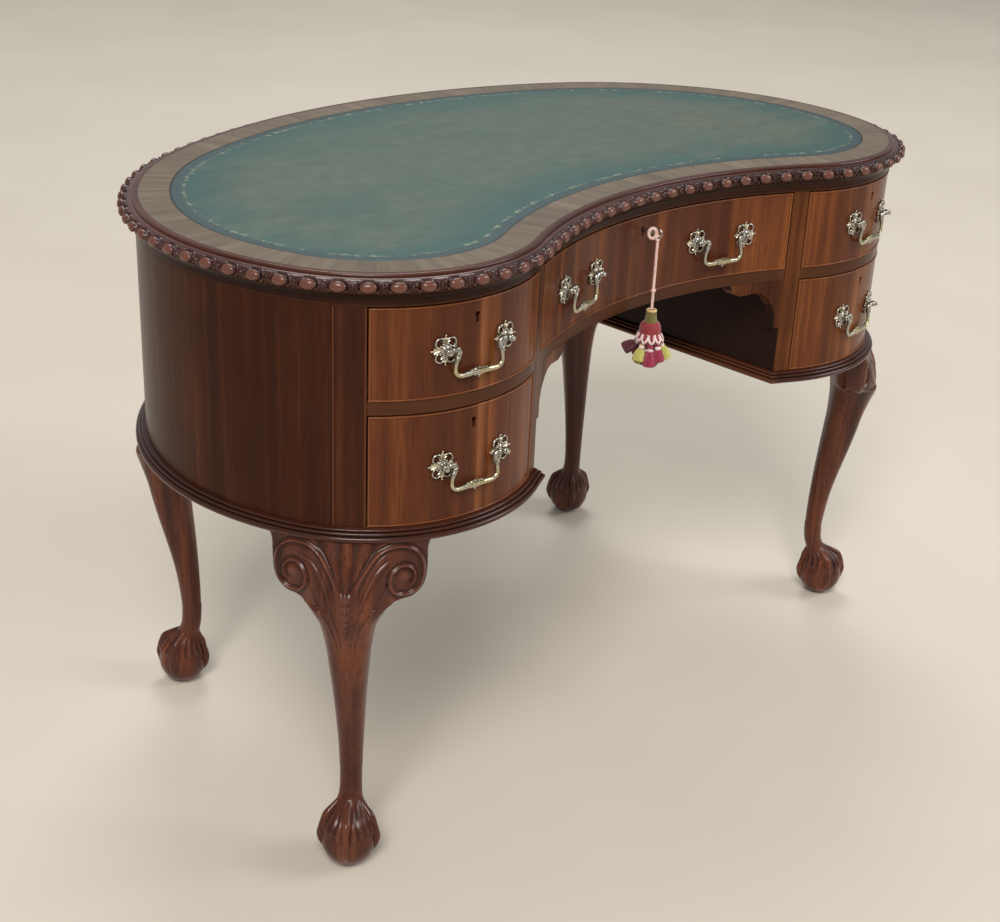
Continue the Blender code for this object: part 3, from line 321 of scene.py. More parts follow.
def make_camera():
    yaw, pitch = math.radians(CAMERA_YAW), math.radians(CAMERA_PITCH)
    ahead = Vector((math.sin(yaw) * math.cos(pitch), math.cos(yaw) * math.cos(pitch), -math.sin(pitch)))
    right = Vector((math.cos(yaw), -math.sin(yaw), 0.0))
    across, upward = turned(right, right.cross(ahead), CAMERA_ROLL)
    data = bpy.data.cameras.new("photo_camera")
    data.lens = CAMERA_LENS
    data.sensor_width = SENSOR_WIDTH
    data.sensor_fit = "HORIZONTAL"
    camera = added("photo_camera", data)
    matrix = Matrix((across, upward, -ahead)).transposed().to_4x4()
    matrix.translation = Vector(CAMERA_PLACE)
    camera.matrix_world = matrix
    bpy.context.scene.camera = camera


make_camera()


# Materials


class Paint:
    """A node material under construction. A source is an output socket or a plain value."""

    def __init__(self, name, **settings):
        self.material = bpy.data.materials.new(name)
        self.material.use_nodes = True
        self.tree = self.material.node_tree
        self.shader = self.tree.nodes["Principled BSDF"]
        for key, value in settings.items():
            self.shader.inputs[key.replace("_", " ").title().replace("Ior", "IOR")].default_value = value

    def feed(self, socket, source):
        if isinstance(source, bpy.types.NodeSocket):
            self.tree.links.new(source, socket)
        else:
            socket.default_value = source

    def node(self, kind, sources=None, **settings):
        made = self.tree.nodes.new(kind)
        for key, value in settings.items():
            setattr(made, key, value)
        for name, source in (sources or {}).items():
            self.feed(made.inputs[name], source)
        return made

    def set(self, name, source):
        self.feed(self.shader.inputs[name], source)

    def place(self):
        return self.node("ShaderNodeTexCoord").outputs["Object"]

    def kept(self, name, output="Fac"):
        """What the mesh keeps under this name."""
        return self.node("ShaderNodeAttribute", attribute_name=name).outputs[output]

    def surface(self, output):
        """Normal, or Pointiness: grey on flat places, lighter on edges and darker in hollows."""
        return self.node("ShaderNodeNewGeometry").outputs[output]

    def first(self, vector):
        return self.node("ShaderNodeSeparateXYZ", {"Vector": vector}).outputs["X"]

    def noise(self, place, scale, detail, roughness=0.55, distortion=0.0):
        """Noise of one scale, or with a scale for each axis."""
        if isinstance(scale, tuple):
            place = self.node("ShaderNodeMapping", {"Vector": place, "Scale": scale}).outputs["Vector"]
            scale = 1.0
        sources = {"Vector": place, "Scale": scale, "Detail": detail}
        sources |= {"Roughness": roughness, "Distortion": distortion}
        return self.node("ShaderNodeTexNoise", sources).outputs["Fac"]

    def ramp(self, factor, *stops):
        """A grey or a colour for each factor, from (factor, grey or colour) stops."""
        made = self.node("ShaderNodeValToRGB", {"Fac": factor})
        points = made.color_ramp.elements
        while len(points) < len(stops):
            points.new(0.5)
        for point, (place, colour) in zip(points, stops):
            point.position = place
            point.color = (*colour, 1.0) if isinstance(colour, tuple) else (colour, colour, colour, 1.0)
        return made.outputs["Color"]

    def mix(self, factor, one, two):
        made = self.node("ShaderNodeMix", {0: factor}, data_type="RGBA")
        for number, source in ((6, one), (7, two)):
            self.feed(made.inputs[number], (*source, 1.0) if isinstance(source, tuple) else source)
        return made.outputs[2]

    def tint(self, colour, other, factor, *stops):
        """The colour mixed with another, by what the stops make of the factor."""
        return self.mix(self.ramp(factor, *stops), colour, other)

    def math(self, operation, *sources):
        made = self.node("ShaderNodeMath", operation=operation)
        for socket, source in zip(made.inputs, sources):
            self.feed(socket, source)
        return made.outputs[0]

    def bump(self, height, strength, distance):
        made = self.node("ShaderNodeBump", {"Height": height, "Strength": strength, "Distance": distance})
        self.set("Normal", made.outputs["Normal"])


# Pale gold of worn high places, partly a painted highlight; also the colour of the painted highlight beside
# each keyhole
GOLD_WEAR_AND_HIGHLIGHT = (0.300, 0.110, 0.0400)
# Dark old polish in the pores and figure, also used as painted shade in hollows, in sunk carving and inside the
# kneehole
DARK_POLISH_AND_SHADE = (0.012, 0.0046, 0.0034)
ROSE = (1.0, 0.80, 0.92, 1.0)


def wood(
    name, dark, plain, light, along, attribute=None, bands=0.15, keyhole_highlight=0.0, wear_and_highlight=0.0, gloss=0.3, coat=0.0,
    level=0.15, rubbed_highlight=GOLD_WEAR_AND_HIGHLIGHT, carving=True, narrow=1.0,
):
    """Polished mahogany.

    along is the axis that its grain follows and narrow how fine its figure is. bands is how strong its stripes
    are.
    The setting for the keyhole highlight is how strong a painted highlight beside each keyhole is, and the worn
    setting how much its high places take the worn colour, which is partly a painted highlight; where it is set,
    its hollows also get painted shade. carving says whether its shape shows which these are.
    """
    coated = {"coat_weight": coat, "coat_roughness": 0.18, "coat_tint": ROSE}
    paint = Paint(name, roughness=gloss, specular_ior_level=level, **coated)
    place = paint.kept(attribute, "Vector") if attribute else paint.place()

    def grain(lengthways, crossways, *settings):
        scale = tuple(lengthways if axis == along else crossways for axis in "xyz")
        return paint.noise(place, scale, *settings)

    figure = grain(0.9, 48 * narrow, 2.0, 0.5, 0.5)
    streak = grain(3.2, 95 * narrow, 3.0, 0.6, 0.3)
    band = grain(0.4, 14.0, 2.0, 0.5, 0.4)
    pores = grain(18, 620, 2.0, 0.6)
    cloud = paint.noise(place, 6.5, 3.0, 0.5)
    reach = 0.22 - 0.2 * bands
    colour = paint.ramp(figure, (0.50 - reach, dark), (0.50, plain), (0.50 + reach, light))
    colour = paint.tint(colour, light, band, (0.50, 0.0), (0.60, bands))
    colour = paint.tint(colour, dark, band, (0.38, 1.2 * bands), (0.48, 0.0))
    colour = paint.tint(colour, dark, streak, (0.36, 0.45), (0.52, 0.0))
    colour = paint.tint(colour, dark, cloud, (0.38, 0.40), (0.58, 0.0))
    if keyhole_highlight:
        # Painted highlight: a pale streak of light beside each keyhole of the pedestals
        beside = paint.math("SUBTRACT", paint.math("ABSOLUTE", paint.first(place)), KEYHOLE_STATION + 0.0035)
        share = paint.math("DIVIDE", beside, 0.016)
        lit = paint.ramp(share, (0.0, 0.0), (0.25, keyhole_highlight), (0.50, 0.7 * keyhole_highlight), (1.0, 0.0))
        lit = paint.math("MULTIPLY", lit, paint.ramp(cloud, (0.30, 0.45), (0.50, 1.0)))
        colour = paint.mix(lit, colour, GOLD_WEAR_AND_HIGHLIGHT)
    colour = paint.tint(colour, DARK_POLISH_AND_SHADE, pores, (0.36, 0.35), (0.48, 0.0))
    # Painted shade darkens hollows and creases; edges take the worn colour, partly a painted highlight
    if wear_and_highlight and carving:
        edge = paint.surface("Pointiness")
        colour = paint.tint(colour, DARK_POLISH_AND_SHADE, edge, (0.42, 0.8), (0.492, 0.0))
        edge_rub_highlight = paint.math("MULTIPLY", paint.ramp(edge, (0.51, 0.0), (0.60, 1.0)), wear_and_highlight)
        colour = paint.mix(edge_rub_highlight, colour, rubbed_highlight)
    # Painted shade darkens the sunk parts; raised parts take the worn colour, partly a painted highlight
    if wear_and_highlight:
        relief = paint.kept("relief")
        sunk = paint.math("MULTIPLY", relief, -1.0)
        colour = paint.tint(colour, DARK_POLISH_AND_SHADE, sunk, (0.15, 0.0), (1.0, 0.55) if carving else (0.6, 0.95))
        high = paint.math("MULTIPLY", paint.ramp(relief, (0.30, 0.0), (1.0, 0.9)), wear_and_highlight)
        colour = paint.mix(high, colour, rubbed_highlight)
    if along == "z" and attribute is None and not wear_and_highlight:
        # Painted shade: faces that look sideways, the sides inside the kneehole, are darkened as if in shadow
        sideways = paint.math("ABSOLUTE", paint.first(paint.surface("Normal")))
        colour = paint.tint(colour, DARK_POLISH_AND_SHADE, sideways, (0.84, 0.0), (0.95, 0.93))
    paint.set("Base Color", colour)
    paint.set("Roughness", paint.math("MULTIPLY_ADD", pores, 0.10, gloss - 0.05))
    paint.bump(pores, 0.08, 0.0003)
    return paint.material


def leather():
    """Green hide, worn to olive brown in the middle and darker along its edge."""
    paint = Paint("worn_green_leather", roughness=0.5, specular_ior_level=0.35)
    place = paint.place()
    edge = paint.kept("from_edge")
    cloud = paint.noise(place, 4.2, 4.0, 0.6, 0.4)
    drift = paint.noise(place, (3.0, 13.0, 3.0), 4.0, 0.6, 0.6)
    mottle = paint.noise(place, 38.0, 3.0, 0.6)
    reach = paint.math("MULTIPLY_ADD", drift, 0.10, edge)
    colour = paint.tint((0.016, 0.070, 0.066), (0.074, 0.096, 0.069), reach, (0.070, 0.0), (0.150, 1.0))
    colour = paint.tint(colour, (0.033, 0.085, 0.072), cloud, (0.45, 0.0), (0.66, 0.65))
    colour = paint.tint(colour, (0.106, 0.116, 0.081), drift, (0.52, 0.0), (0.70, 0.5))
    colour = paint.tint(colour, (0.022, 0.050, 0.058), edge, (0.0135, 1.0), (0.0175, 0.0))
    colour = paint.tint(colour, (0.008, 0.010, 0.010), edge, (0.0006, 1.0), (0.0016, 0.0))
    colour = paint.tint(colour, (0.020, 0.034, 0.026), mottle, (0.35, 0.30), (0.60, 0.0))
    paint.set("Base Color", colour)
    hide = paint.node("ShaderNodeTexVoronoi", {"Vector": place, "Scale": 900.0})
    paint.bump(hide.outputs["Distance"], 0.25, 0.0003)
    paint.set("Roughness", paint.ramp(cloud, (0.35, 0.42), (0.7, 0.56)))
    return paint.material


def gilding():
    paint = Paint("rubbed_gilding", roughness=0.45, metallic=0.35)
    worn = paint.noise(paint.place(), 60.0, 4.0, 0.7)
    colour = paint.tint((0.050, 0.090, 0.074), (0.36, 0.36, 0.25), worn, (0.44, 0.0), (0.58, 1.0))
    paint.set("Base Color", colour)
    return paint.material


def brass():
    """Old brass: silvery grey on the castings, gold on the bars that hands hold, and dark in its hollows."""
    paint = Paint("aged_brass", metallic=1.0, roughness=0.28)
    place = paint.place()
    cloud = paint.noise(place, 190.0, 3.0, 0.6)
    spread = paint.noise(place, 60.0, 2.0, 0.5)
    edge = paint.surface("Pointiness")
    cast = paint.tint((0.27, 0.250, 0.205), (0.40, 0.375, 0.315), cloud, (0.35, 0.0), (0.68, 1.0))
    bar = paint.tint((0.46, 0.415, 0.250), (0.56, 0.505, 0.330), cloud, (0.35, 0.0), (0.68, 1.0))
    colour = paint.mix(paint.kept("relief"), cast, bar)
    colour = paint.tint(colour, (0.40, 0.40, 0.40), spread, (0.44, 0.0), (0.60, 0.55))
    # Painted highlight: pale gold on the raised edges
    colour = paint.tint(colour, (0.86, 0.76, 0.56), edge, (0.53, 0.0), (0.64, 0.8))
    colour = paint.tint(colour, (0.022, 0.019, 0.015), edge, (0.40, 1.0), (0.488, 0.0))
    paint.set("Base Color", colour)
    paint.set("Roughness", paint.ramp(cloud, (0.3, 0.25), (0.75, 0.42)))
    return paint.material


def steel():
    paint = Paint("key_steel", metallic=1.0, roughness=0.3)
    cloud = paint.noise(paint.place(), 300.0, 3.0, 0.6)
    paint.set("Base Color", paint.ramp(cloud, (0.35, (0.20, 0.185, 0.165)), (0.65, (0.52, 0.50, 0.47))))
    return paint.material


def thread(name, dark, light, scale=900.0):
    """Silk thread, with the twist of its strands."""
    paint = Paint(name, roughness=0.7, sheen_weight=0.5, sheen_roughness=0.4)
    strands = paint.noise(paint.place(), (scale, scale, scale / 7), 3.0, 0.6)
    paint.set("Base Color", paint.ramp(strands, (0.32, dark), (0.64, light)))
    paint.bump(strands, 0.5, 0.0005)
    return paint.material


def plain_timber():
    """Unpolished drawer timber."""
    paint = Paint("drawer_timber", roughness=0.62)
    place = paint.place()
    figure = paint.noise(place, (30, 2.2, 60), 5.0, 0.6, 0.5)
    pores = paint.noise(place, (500, 22, 500), 2.0, 0.6)
    colour = paint.ramp(figure, (0.3, (0.20, 0.105, 0.050)), (0.7, (0.36, 0.215, 0.115)))
    colour = paint.tint(colour, (0.09, 0.045, 0.022), pores, (0.36, 0.5), (0.47, 0.0))
    paint.set("Base Color", colour)
    paint.bump(pores, 0.2, 0.0004)
    return paint.material


MATERIALS = {
    "front": wood(
        "drawer_veneer", (0.068, 0.0186, 0.0070), (0.121, 0.0335, 0.0106), (0.222, 0.0690, 0.0172), "z",
        "grain", bands=0.4, keyhole_highlight=0.6, wear_and_highlight=0.42, gloss=0.25, coat=0.05, level=0.12, carving=False, narrow=0.6,
    ),
    "side": wood(
        "side_veneer", (0.028, 0.0080, 0.0036), (0.051, 0.0138, 0.0054), (0.078, 0.0225, 0.0080), "z", "grain",
        bands=0.08, level=0.09,
    ),
    "upright": wood(
        "post_wood", (0.030, 0.0084, 0.0038), (0.056, 0.0155, 0.0062), (0.092, 0.0270, 0.0096), "z", "grain",
        wear_and_highlight=0.4, level=0.10, rubbed_highlight=(0.185, 0.0600, 0.0210), carving=False,
    ),
    # The stile wood is also painted with shade on its faces that look sideways, inside the kneehole
    "stile": wood(
        "stile_wood", (0.045, 0.0130, 0.0052), (0.100, 0.0290, 0.0092), (0.165, 0.0530, 0.0160), "z",
        level=0.10,
    ),
    "running": wood(
        "running_wood", DARK_POLISH_AND_SHADE, (0.034, 0.0105, 0.0066), (0.072, 0.0220, 0.0110), "x", "grain",
        wear_and_highlight=0.25, gloss=0.22, coat=0.35,
    ),
    "nosing": wood(
        "nosing_wood", (0.034, 0.0115, 0.0080), (0.068, 0.0235, 0.0150), (0.105, 0.0390, 0.0245), "x", "grain",
        gloss=0.2, coat=0.3,
    ),
    "rail": wood(
        "rail_wood", DARK_POLISH_AND_SHADE, (0.030, 0.0090, 0.0048), (0.058, 0.0175, 0.0082), "x", "grain",
        wear_and_highlight=0.2, gloss=0.25, level=0.09,
    ),
    "crossband": wood(
        "crossband_veneer", (0.126, 0.092, 0.065), (0.168, 0.126, 0.089), (0.212, 0.163, 0.117), "y", "grain",
        gloss=0.36,
    ),
    "carved": wood(
        "carved_wood", (0.042, 0.0115, 0.0066), (0.096, 0.0268, 0.0118), (0.172, 0.0520, 0.0185), "z",
        wear_and_highlight=0.35, gloss=0.28, coat=0.30, rubbed_highlight=(0.190, 0.0780, 0.0500),
    ),
    "beads": wood(
        "bead_wood", DARK_POLISH_AND_SHADE, (0.070, 0.0320, 0.0280), (0.104, 0.0520, 0.0440), "x", "grain",
        wear_and_highlight=0.65, coat=0.45, rubbed_highlight=(0.185, 0.0760, 0.0440),
    ),
    # Wood inside the case: a dark tone, darkened further as painted shade of the case's inside
    "inner": wood(
        "inner_wood_painted_shade", DARK_POLISH_AND_SHADE, (0.022, 0.0075, 0.0040), (0.036, 0.0120, 0.0060), "y", gloss=0.5, level=0.08,
    ),
    "timber": plain_timber(),
    "leather": leather(),
    "gilding": gilding(),
    "brass": brass(),
    "steel": steel(),
    "pink": thread("pink_thread", (0.52, 0.29, 0.24), (0.86, 0.64, 0.55), 1400.0),
    "crimson": thread("crimson_thread", (0.15, 0.005, 0.022), (0.36, 0.020, 0.066)),
    "maroon": thread("maroon_thread", (0.036, 0.004, 0.009), (0.105, 0.010, 0.022)),
    "red": thread("red_chenille", (0.13, 0.010, 0.012), (0.34, 0.034, 0.036), 1300.0),
    "gold": thread("gold_thread", (0.42, 0.26, 0.075), (0.82, 0.58, 0.24), 1300.0),
    "lime": thread("lime_thread", (0.26, 0.24, 0.035), (0.58, 0.53, 0.15)),
    "olive": thread("olive_thread", (0.075, 0.062, 0.012), (0.195, 0.160, 0.034), 1300.0),
    "white": thread("white_thread", (0.56, 0.36, 0.33), (0.90, 0.76, 0.70), 1300.0),
}


# Meshes


def put(name, mesh, finish, body, replaces=()):
    """Makes a mesh a piece of the desk that moves with a body and stands for CAD nodes."""
    if not mesh.materials:
        mesh.materials.append(MATERIALS[finish])
    obj = added(name, mesh)
    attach(obj, body)
    if replaces:
        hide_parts(*replaces)
    return obj


def put_wood(mesh, finish, node, side=1, body="case", grained=True):
    """Makes a mesh the mahogany piece that stands for a CAD node. It is mirrored where the side is -1."""
    if grained:
        mark_grain(mesh)
    if side < 0:
        mesh.transform(Matrix.Diagonal((-1, 1, 1, 1)))
        mesh.flip_normals()
    put(mesh.name, mesh, finish, body, [node])


def close(name, bm, sharp=35.0):
    """The mesh made from bm, facing outwards, smooth apart from its sharp edges."""
    bmesh.ops.recalc_face_normals(bm, faces=bm.faces)
    if bm.calc_volume(signed=True) < 0:
        bmesh.ops.reverse_faces(bm, faces=bm.faces)
    mesh = bpy.data.meshes.new(name)
    bm.to_mesh(mesh)
    bm.free()
    mesh.shade_smooth()
    mesh.set_sharp_from_angle(angle=math.radians(sharp))
    return mesh


def skin(bm, rows, ring=False):
    """Quads between matching closed rows of points. The ends are capped, or joined to make a ring."""
    made = [[bm.verts.new(point) for point in row] for row in rows]
    pairs = list(zip(made, made[1:]))
    if ring:
        pairs.append((made[-1], made[0]))
    else:
        bm.faces.new(made[0])
        bm.faces.new(made[-1])
    for row, after in pairs:
        for index, (near, far) in enumerate(zip(row, after, strict=True)):
            bm.faces.new((row[index - 1], near, far, after[index - 1]))


def lofted(name, rows, ring=False, sharp=35.0):
    bm = bmesh.new()
    skin(bm, rows, ring)
    return close(name, bm, sharp)


def round_rows(profile):
    """A row of points right round the wall for each (offset, height)."""
    return [[lift(station, offset, height) for station in ALL_ROUND] for offset, height in profile]


def swept_rows(profile, stations):
    return [[lift(station, offset, height) for offset, height in profile] for station in stations]


def slab(face, low, high):
    """Profile of a flat panel, as (offset, height)."""
    return [(-WALL, low), (face, low), (face, high), (-WALL, high)]


# Cord of the tassel, and the key's bow that it hangs from
KEY_AXIS = Vector((0.0, -0.24, 0.7063))
CORD_TOP = Vector((0.0, -0.2644, 0.6988))
CORD_LENGTH = 0.0935
CORD_DIAMETER = 0.0035
CORD_POINTS = 20
# The cord shows down to the tassel, and runs on inside the tassel's head
CORD_IN_HEAD = 0.030
WHOLE_CORD = CORD_LENGTH + CORD_IN_HEAD


def make_cord():
    """The silk cord from the key's bow into the tassel."""
    curve = bpy.data.curves.new("silk_cord", "CURVE")
    curve.dimensions = "3D"
    curve.bevel_depth = CORD_DIAMETER / 2
    curve.bevel_resolution = 5
    curve.use_fill_caps = True
    curve.materials.append(MATERIALS["pink"])
    spline = curve.splines.new("POLY")
    spline.points.add(CORD_POINTS)
    for step, spot in enumerate(spline.points):
        spot.co = (*(CORD_TOP - Z_AXIS * (WHOLE_CORD * step / CORD_POINTS)), 1.0)
    cord = added("silk_cord", curve)
    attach(cord, "tassel")
    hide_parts("tassel_cord")
    return cord


cord = make_cord()


# Top

CROSSBAND_WIDTH = 0.042
LEATHER_BED = 0.0013
NOSING_INSET = -0.0026
NOSING_OUT = 0.0008
NOSING_LOW = 0.7584
NOSING_RADIUS = 0.0023


def make_top():
    """Top board with its crossbanded border and rounded nosing. The leather is laid in it."""
    nosing = arc_points((NOSING_OUT, DESK_HEIGHT - NOSING_RADIUS), NOSING_RADIUS, 90, -90, 8)
    profile = [(PROFILE_START, TOP_UNDERSIDE + SEAM), (PROFILE_START, NOSING_LOW), (NOSING_OUT, NOSING_LOW)]
    profile += [*nosing[-2::-1], (2 * NOSING_INSET, DESK_HEIGHT), (SEAM - CROSSBAND_WIDTH, DESK_HEIGHT)]
    profile.append((SEAM - CROSSBAND_WIDTH, DESK_HEIGHT - LEATHER_BED))
    mesh = lofted("top_board_veneered", round_rows(profile), sharp=50.0)
    mesh.materials.append(MATERIALS["crossband"])
    mesh.materials.append(MATERIALS["nosing"])
    for polygon in mesh.polygons:
        polygon.material_index = int(wall_place(polygon.center)[1] > NOSING_INSET)
    put_wood(mesh, "crossband", "top_board")


make_top()


# Case

POST_BEAD_INSET = 0.0016
POST_BEAD_RADIUS = 0.0015
# Reeds of the base moulding from below: height of the middle over the underside, radius and reach outwards
REEDS = ((0.0037, 0.0037, 0.0133), (0.0090, 0.0021, 0.0094), (0.0123, 0.0017, 0.0054))
BASE_LIP = 0.0012
BASE_STEPS = 150
RAIL_STEPS = 60
# Hollow moulding of the frame: reach outwards, its start over the lower edge, and the half axes of its oval
FRAME_REACH = 0.0112
FRAME_HOLLOW = 0.0062
FRAME_OVAL = (0.0100, 0.0115)
FRAME_LIP = 0.0052
FRAME_STEP = 0.0012
FRAME_DEPTH = 0.045
BOLT_PLAY = 0.0005
BOLT_TRAVEL = 0.006


def add_pillar(bm, station, offset, radius, low, high):
    """A round bead standing on the wall, half sunk in it."""
    normal = wall_normal(station)
    along = Vector((normal.y, -normal.x)) * radius
    row = circle(wall_point(station, offset), along, normal * radius, 16)
    skin(bm, [[Vector((*spot, height)) for spot in row] for height in (low, high)])


def make_panels():
    spans = (
        ("back_panel", -BACK_EDGE, BACK_EDGE),
        ("right_side_panel", BACK_EDGE + SEAM, POST_START - SEAM),
        ("left_side_panel", SEAM - POST_START, -BACK_EDGE - SEAM),
    )
    for name, start, end in spans:
        rows = swept_rows(slab(0.0, BASE_TOP + SEAM, FRAME_UNDERSIDE), spaced(start, end))
        put_wood(lofted(f"{name}_veneered", rows), "side", name)


def make_posts():
    """Posts over the front legs, with a bead down each edge."""
    low, high = BASE_TOP + SEAM, FRAME_UNDERSIDE
    end = front_station(POST_EDGE)
    for name, side in SIDES:
        bm = bmesh.new()
        skin(bm, swept_rows(slab(VENEER_FACE, low, high), spaced(POST_START, end)))
        for vertex in bm.verts:
            vertex.co.x = math.copysign(max(abs(vertex.co.x), POST_EDGE), vertex.co.x)
        for station in (POST_START + POST_BEAD_INSET, end - POST_BEAD_INSET):
            add_pillar(bm, station, 0.0, POST_BEAD_RADIUS, low, high)
        mesh = close(f"{name}_front_post_beaded", bm)
        # The beads take the worn colour, partly a painted highlight along them
        mark_points(mesh, [wall_place(vertex.co)[1] / BEAD_HEIGHT for vertex in mesh.vertices])
        put_wood(mesh, "upright", f"{name}_front_post", side)


def reeds():
    """Profile of the base moulding from below, as (offset, height): a bold reed and two smaller ones."""
    points = [(PROFILE_START, BASE_UNDERSIDE)]
    for height, radius, reach in REEDS:
        points += arc_points((reach - radius, BASE_UNDERSIDE + height), radius, -82, 82, 8)
    return points + [(BASE_LIP, BASE_TOP), (PROFILE_START, BASE_TOP)]


def make_base():
    """Floors of the pedestals with their reeded edges, and the reeded rail across the back."""
    for name, side in SIDES:
        rows = []
        for out, height in reeds():
            x = KNEEHOLE_HALF - out
            first, last = rear_station(x, out), front_station(x, out)
            shares = [step / BASE_STEPS for step in range(BASE_STEPS + 1)]
            rows.append([lift(first + (last - first) * share, out, height) for share in shares])
        put_wood(lofted(f"{name}_base_board_reeded", rows, sharp=50.0), "running", f"{name}_base_board", side)
    rows = []
    for out, height in reeds():
        x = KNEEHOLE_HALF - out - SEAM
        row = []
        for end, offset in ((-rear_station(x, out), out), (rear_station(x, -WALL - out), -WALL - out)):
            row += [lift(end * (1 - 2 * step / RAIL_STEPS), offset, height) for step in range(RAIL_STEPS + 1)]
        rows.append(row)
    put_wood(lofted("rear_base_rail_reeded", rows, sharp=50.0), "running", "rear_base_rail")


def plank(name, plan, low, high):
    return lofted(name, [[Vector((point.x, point.y, height)) for point in plan] for height in (low, high)])


def make_shelves():
    """Rails between the drawers, each in one with its dustboard."""
    inner = -WALL - SEAM
    for name, side in SIDES:
        first, last = POST_EDGE - SEAM, STILE_EDGE + SEAM
        plan = [wall_point(at) for at in spaced(front_station(first), front_station(last))]
        plan += [wall_point(at, inner) for at in spaced(rear_station(last, inner), front_station(first, inner))]
        mesh = plank(f"{name}_mid_shelf_edged", plan, SHELF_UNDERSIDE + SEAM, SHELF_TOP)
        put_wood(mesh, "rail", f"{name}_mid_shelf", side)
    front = front_station(KNEEHOLE_HALF - SEAM)
    back = rear_station(KNEEHOLE_HALF - SEAM, inner)
    plan = [wall_point(at) for at in spaced(front, WHOLE_RUN - front)]
    plan += [wall_point(at, inner) for at in spaced(-back, back)]
    put_wood(plank("centre_shelf_edged", plan, SHELF_UNDERSIDE, SHELF_TOP), "rail", "centre_shelf")


def cut(mesh, other, name):
    """The mesh with the other one's shape taken out of it."""
    pair = [added(name, shape) for shape in (mesh, other)]
    modifier = pair[0].modifiers.new("cut", "BOOLEAN")
    modifier.operation = "DIFFERENCE"
    modifier.object = pair[1]
    bpy.context.view_layer.update()
    graph = bpy.context.evaluated_depsgraph_get()
    result = bpy.data.meshes.new_from_object(pair[0].evaluated_get(graph))
    for obj in pair:
        bpy.data.objects.remove(obj, do_unlink=True)
    result.name = name
    return result


def make_top_frame():
    """Frieze under the top, with the hollow moulding on its face."""
    low, high = FRAME_UNDERSIDE + SEAM, TOP_UNDERSIDE
    profile = [(-FRAME_DEPTH, low), (0.0, low), (0.0, low + FRAME_LIP), (FRAME_STEP, low + FRAME_LIP)]
    for angle in range(0, 91, 10):
        turn = math.radians(angle)
        height = low + FRAME_HOLLOW + FRAME_OVAL[1] * math.sin(turn)
        profile.append((FRAME_REACH - FRAME_OVAL[0] * math.cos(turn), height))
    profile += [(FRAME_REACH, high), (-FRAME_DEPTH, high)]
    whole = lofted("top_frame", swept_rows(profile, ALL_ROUND), ring=True)
    # Mortise that the centre lock's bolt rises into
    (left, near, _), (right, far, tip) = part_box("centre_lock_bolt")
    left, near, right, far = left - BOLT_PLAY, near - BOLT_PLAY, right + BOLT_PLAY, far + BOLT_PLAY
    corners = ((left, near), (right, near), (right, far), (left, far))
    levels = (low - 0.005, tip + BOLT_TRAVEL + BOLT_PLAY)
    mortise = lofted("mortise", [[Vector((x, y, height)) for x, y in corners] for height in levels])
    bm = bmesh.new()
    bm.from_mesh(cut(whole, mortise, "top_frame_cut"))
    put_wood(close("top_frame_moulded", bm, sharp=40.0), "rail", "top_frame")


make_panels()
make_posts()
make_base()
make_shelves()
make_top_frame()


# Edge moulding

BEAD_COUNT = 100
MOULDING_LOW = TOP_UNDERSIDE + SEAM
MOULDING_HEIGHT = 0.0135
MOULDING_BACK = -0.0037
# Half axes of a bead and of the rim round its hollow, the hollow's depth and the bead's height over it
BEAD_OVAL = (0.0100, 0.0063)
RIM_OVAL = (0.0124, 0.0098)
HOLLOW_DEPTH = 0.0022
BEAD_BULGE = 0.0062
CROSS_WIDTH = 0.0008
SCALLOP = 0.0007
# Heights over and under the ground that count as wholly worn, with a painted highlight, and wholly sunk in
# painted shade
RUBBED_AND_LIT_HEIGHT = 0.0034
SUNK_DEPTH = 0.0016
# Ground of the carving from the lower edge up: offset, and height above the moulding's underside
GROUND = (
    (0.0098, 0.0000), (0.0128, 0.0002), (0.0150, 0.0012), (0.0159, 0.0030), (0.0160, 0.0052),
    (0.0155, 0.0076), (0.0144, 0.0098), (0.0126, 0.0116), (0.0100, 0.0128), (0.0060, 0.0135),
)


def bead_relief(along, across, pitch):
    """Height of the carving over its ground: an oval bead in a rimmed hollow, and a small cross between two."""
    x = abs((along / pitch + 0.5) % 1.0 - 0.5) * pitch
    y = abs(across)
    oval = math.hypot(x / BEAD_OVAL[0], y / BEAD_OVAL[1])
    if oval < 1:
        return -HOLLOW_DEPTH + BEAD_BULGE * (1 - oval**2.6) ** 0.5
    gap = pitch / 2 - x
    around = math.hypot(x / RIM_OVAL[0], y / RIM_OVAL[1])
    rim = 0.0031 * bell(around - 1, 0.070) * rise(x, 0.0045, 0.0090)
    cross = 0.0026 * bell(gap, CROSS_WIDTH) * rise(0.0046 - y, 0.0, 0.002)
    cross += 0.0024 * bell(y - gap * 0.95, CROSS_WIDTH) * rise(0.0026 - gap, 0.0, 0.001)
    floor = -HOLLOW_DEPTH + 0.0016 * rise(oval, 1.25, 1.8) * rise(y, 0.004, 0.007)
    return floor + max(rim, min(cross, 0.0030))


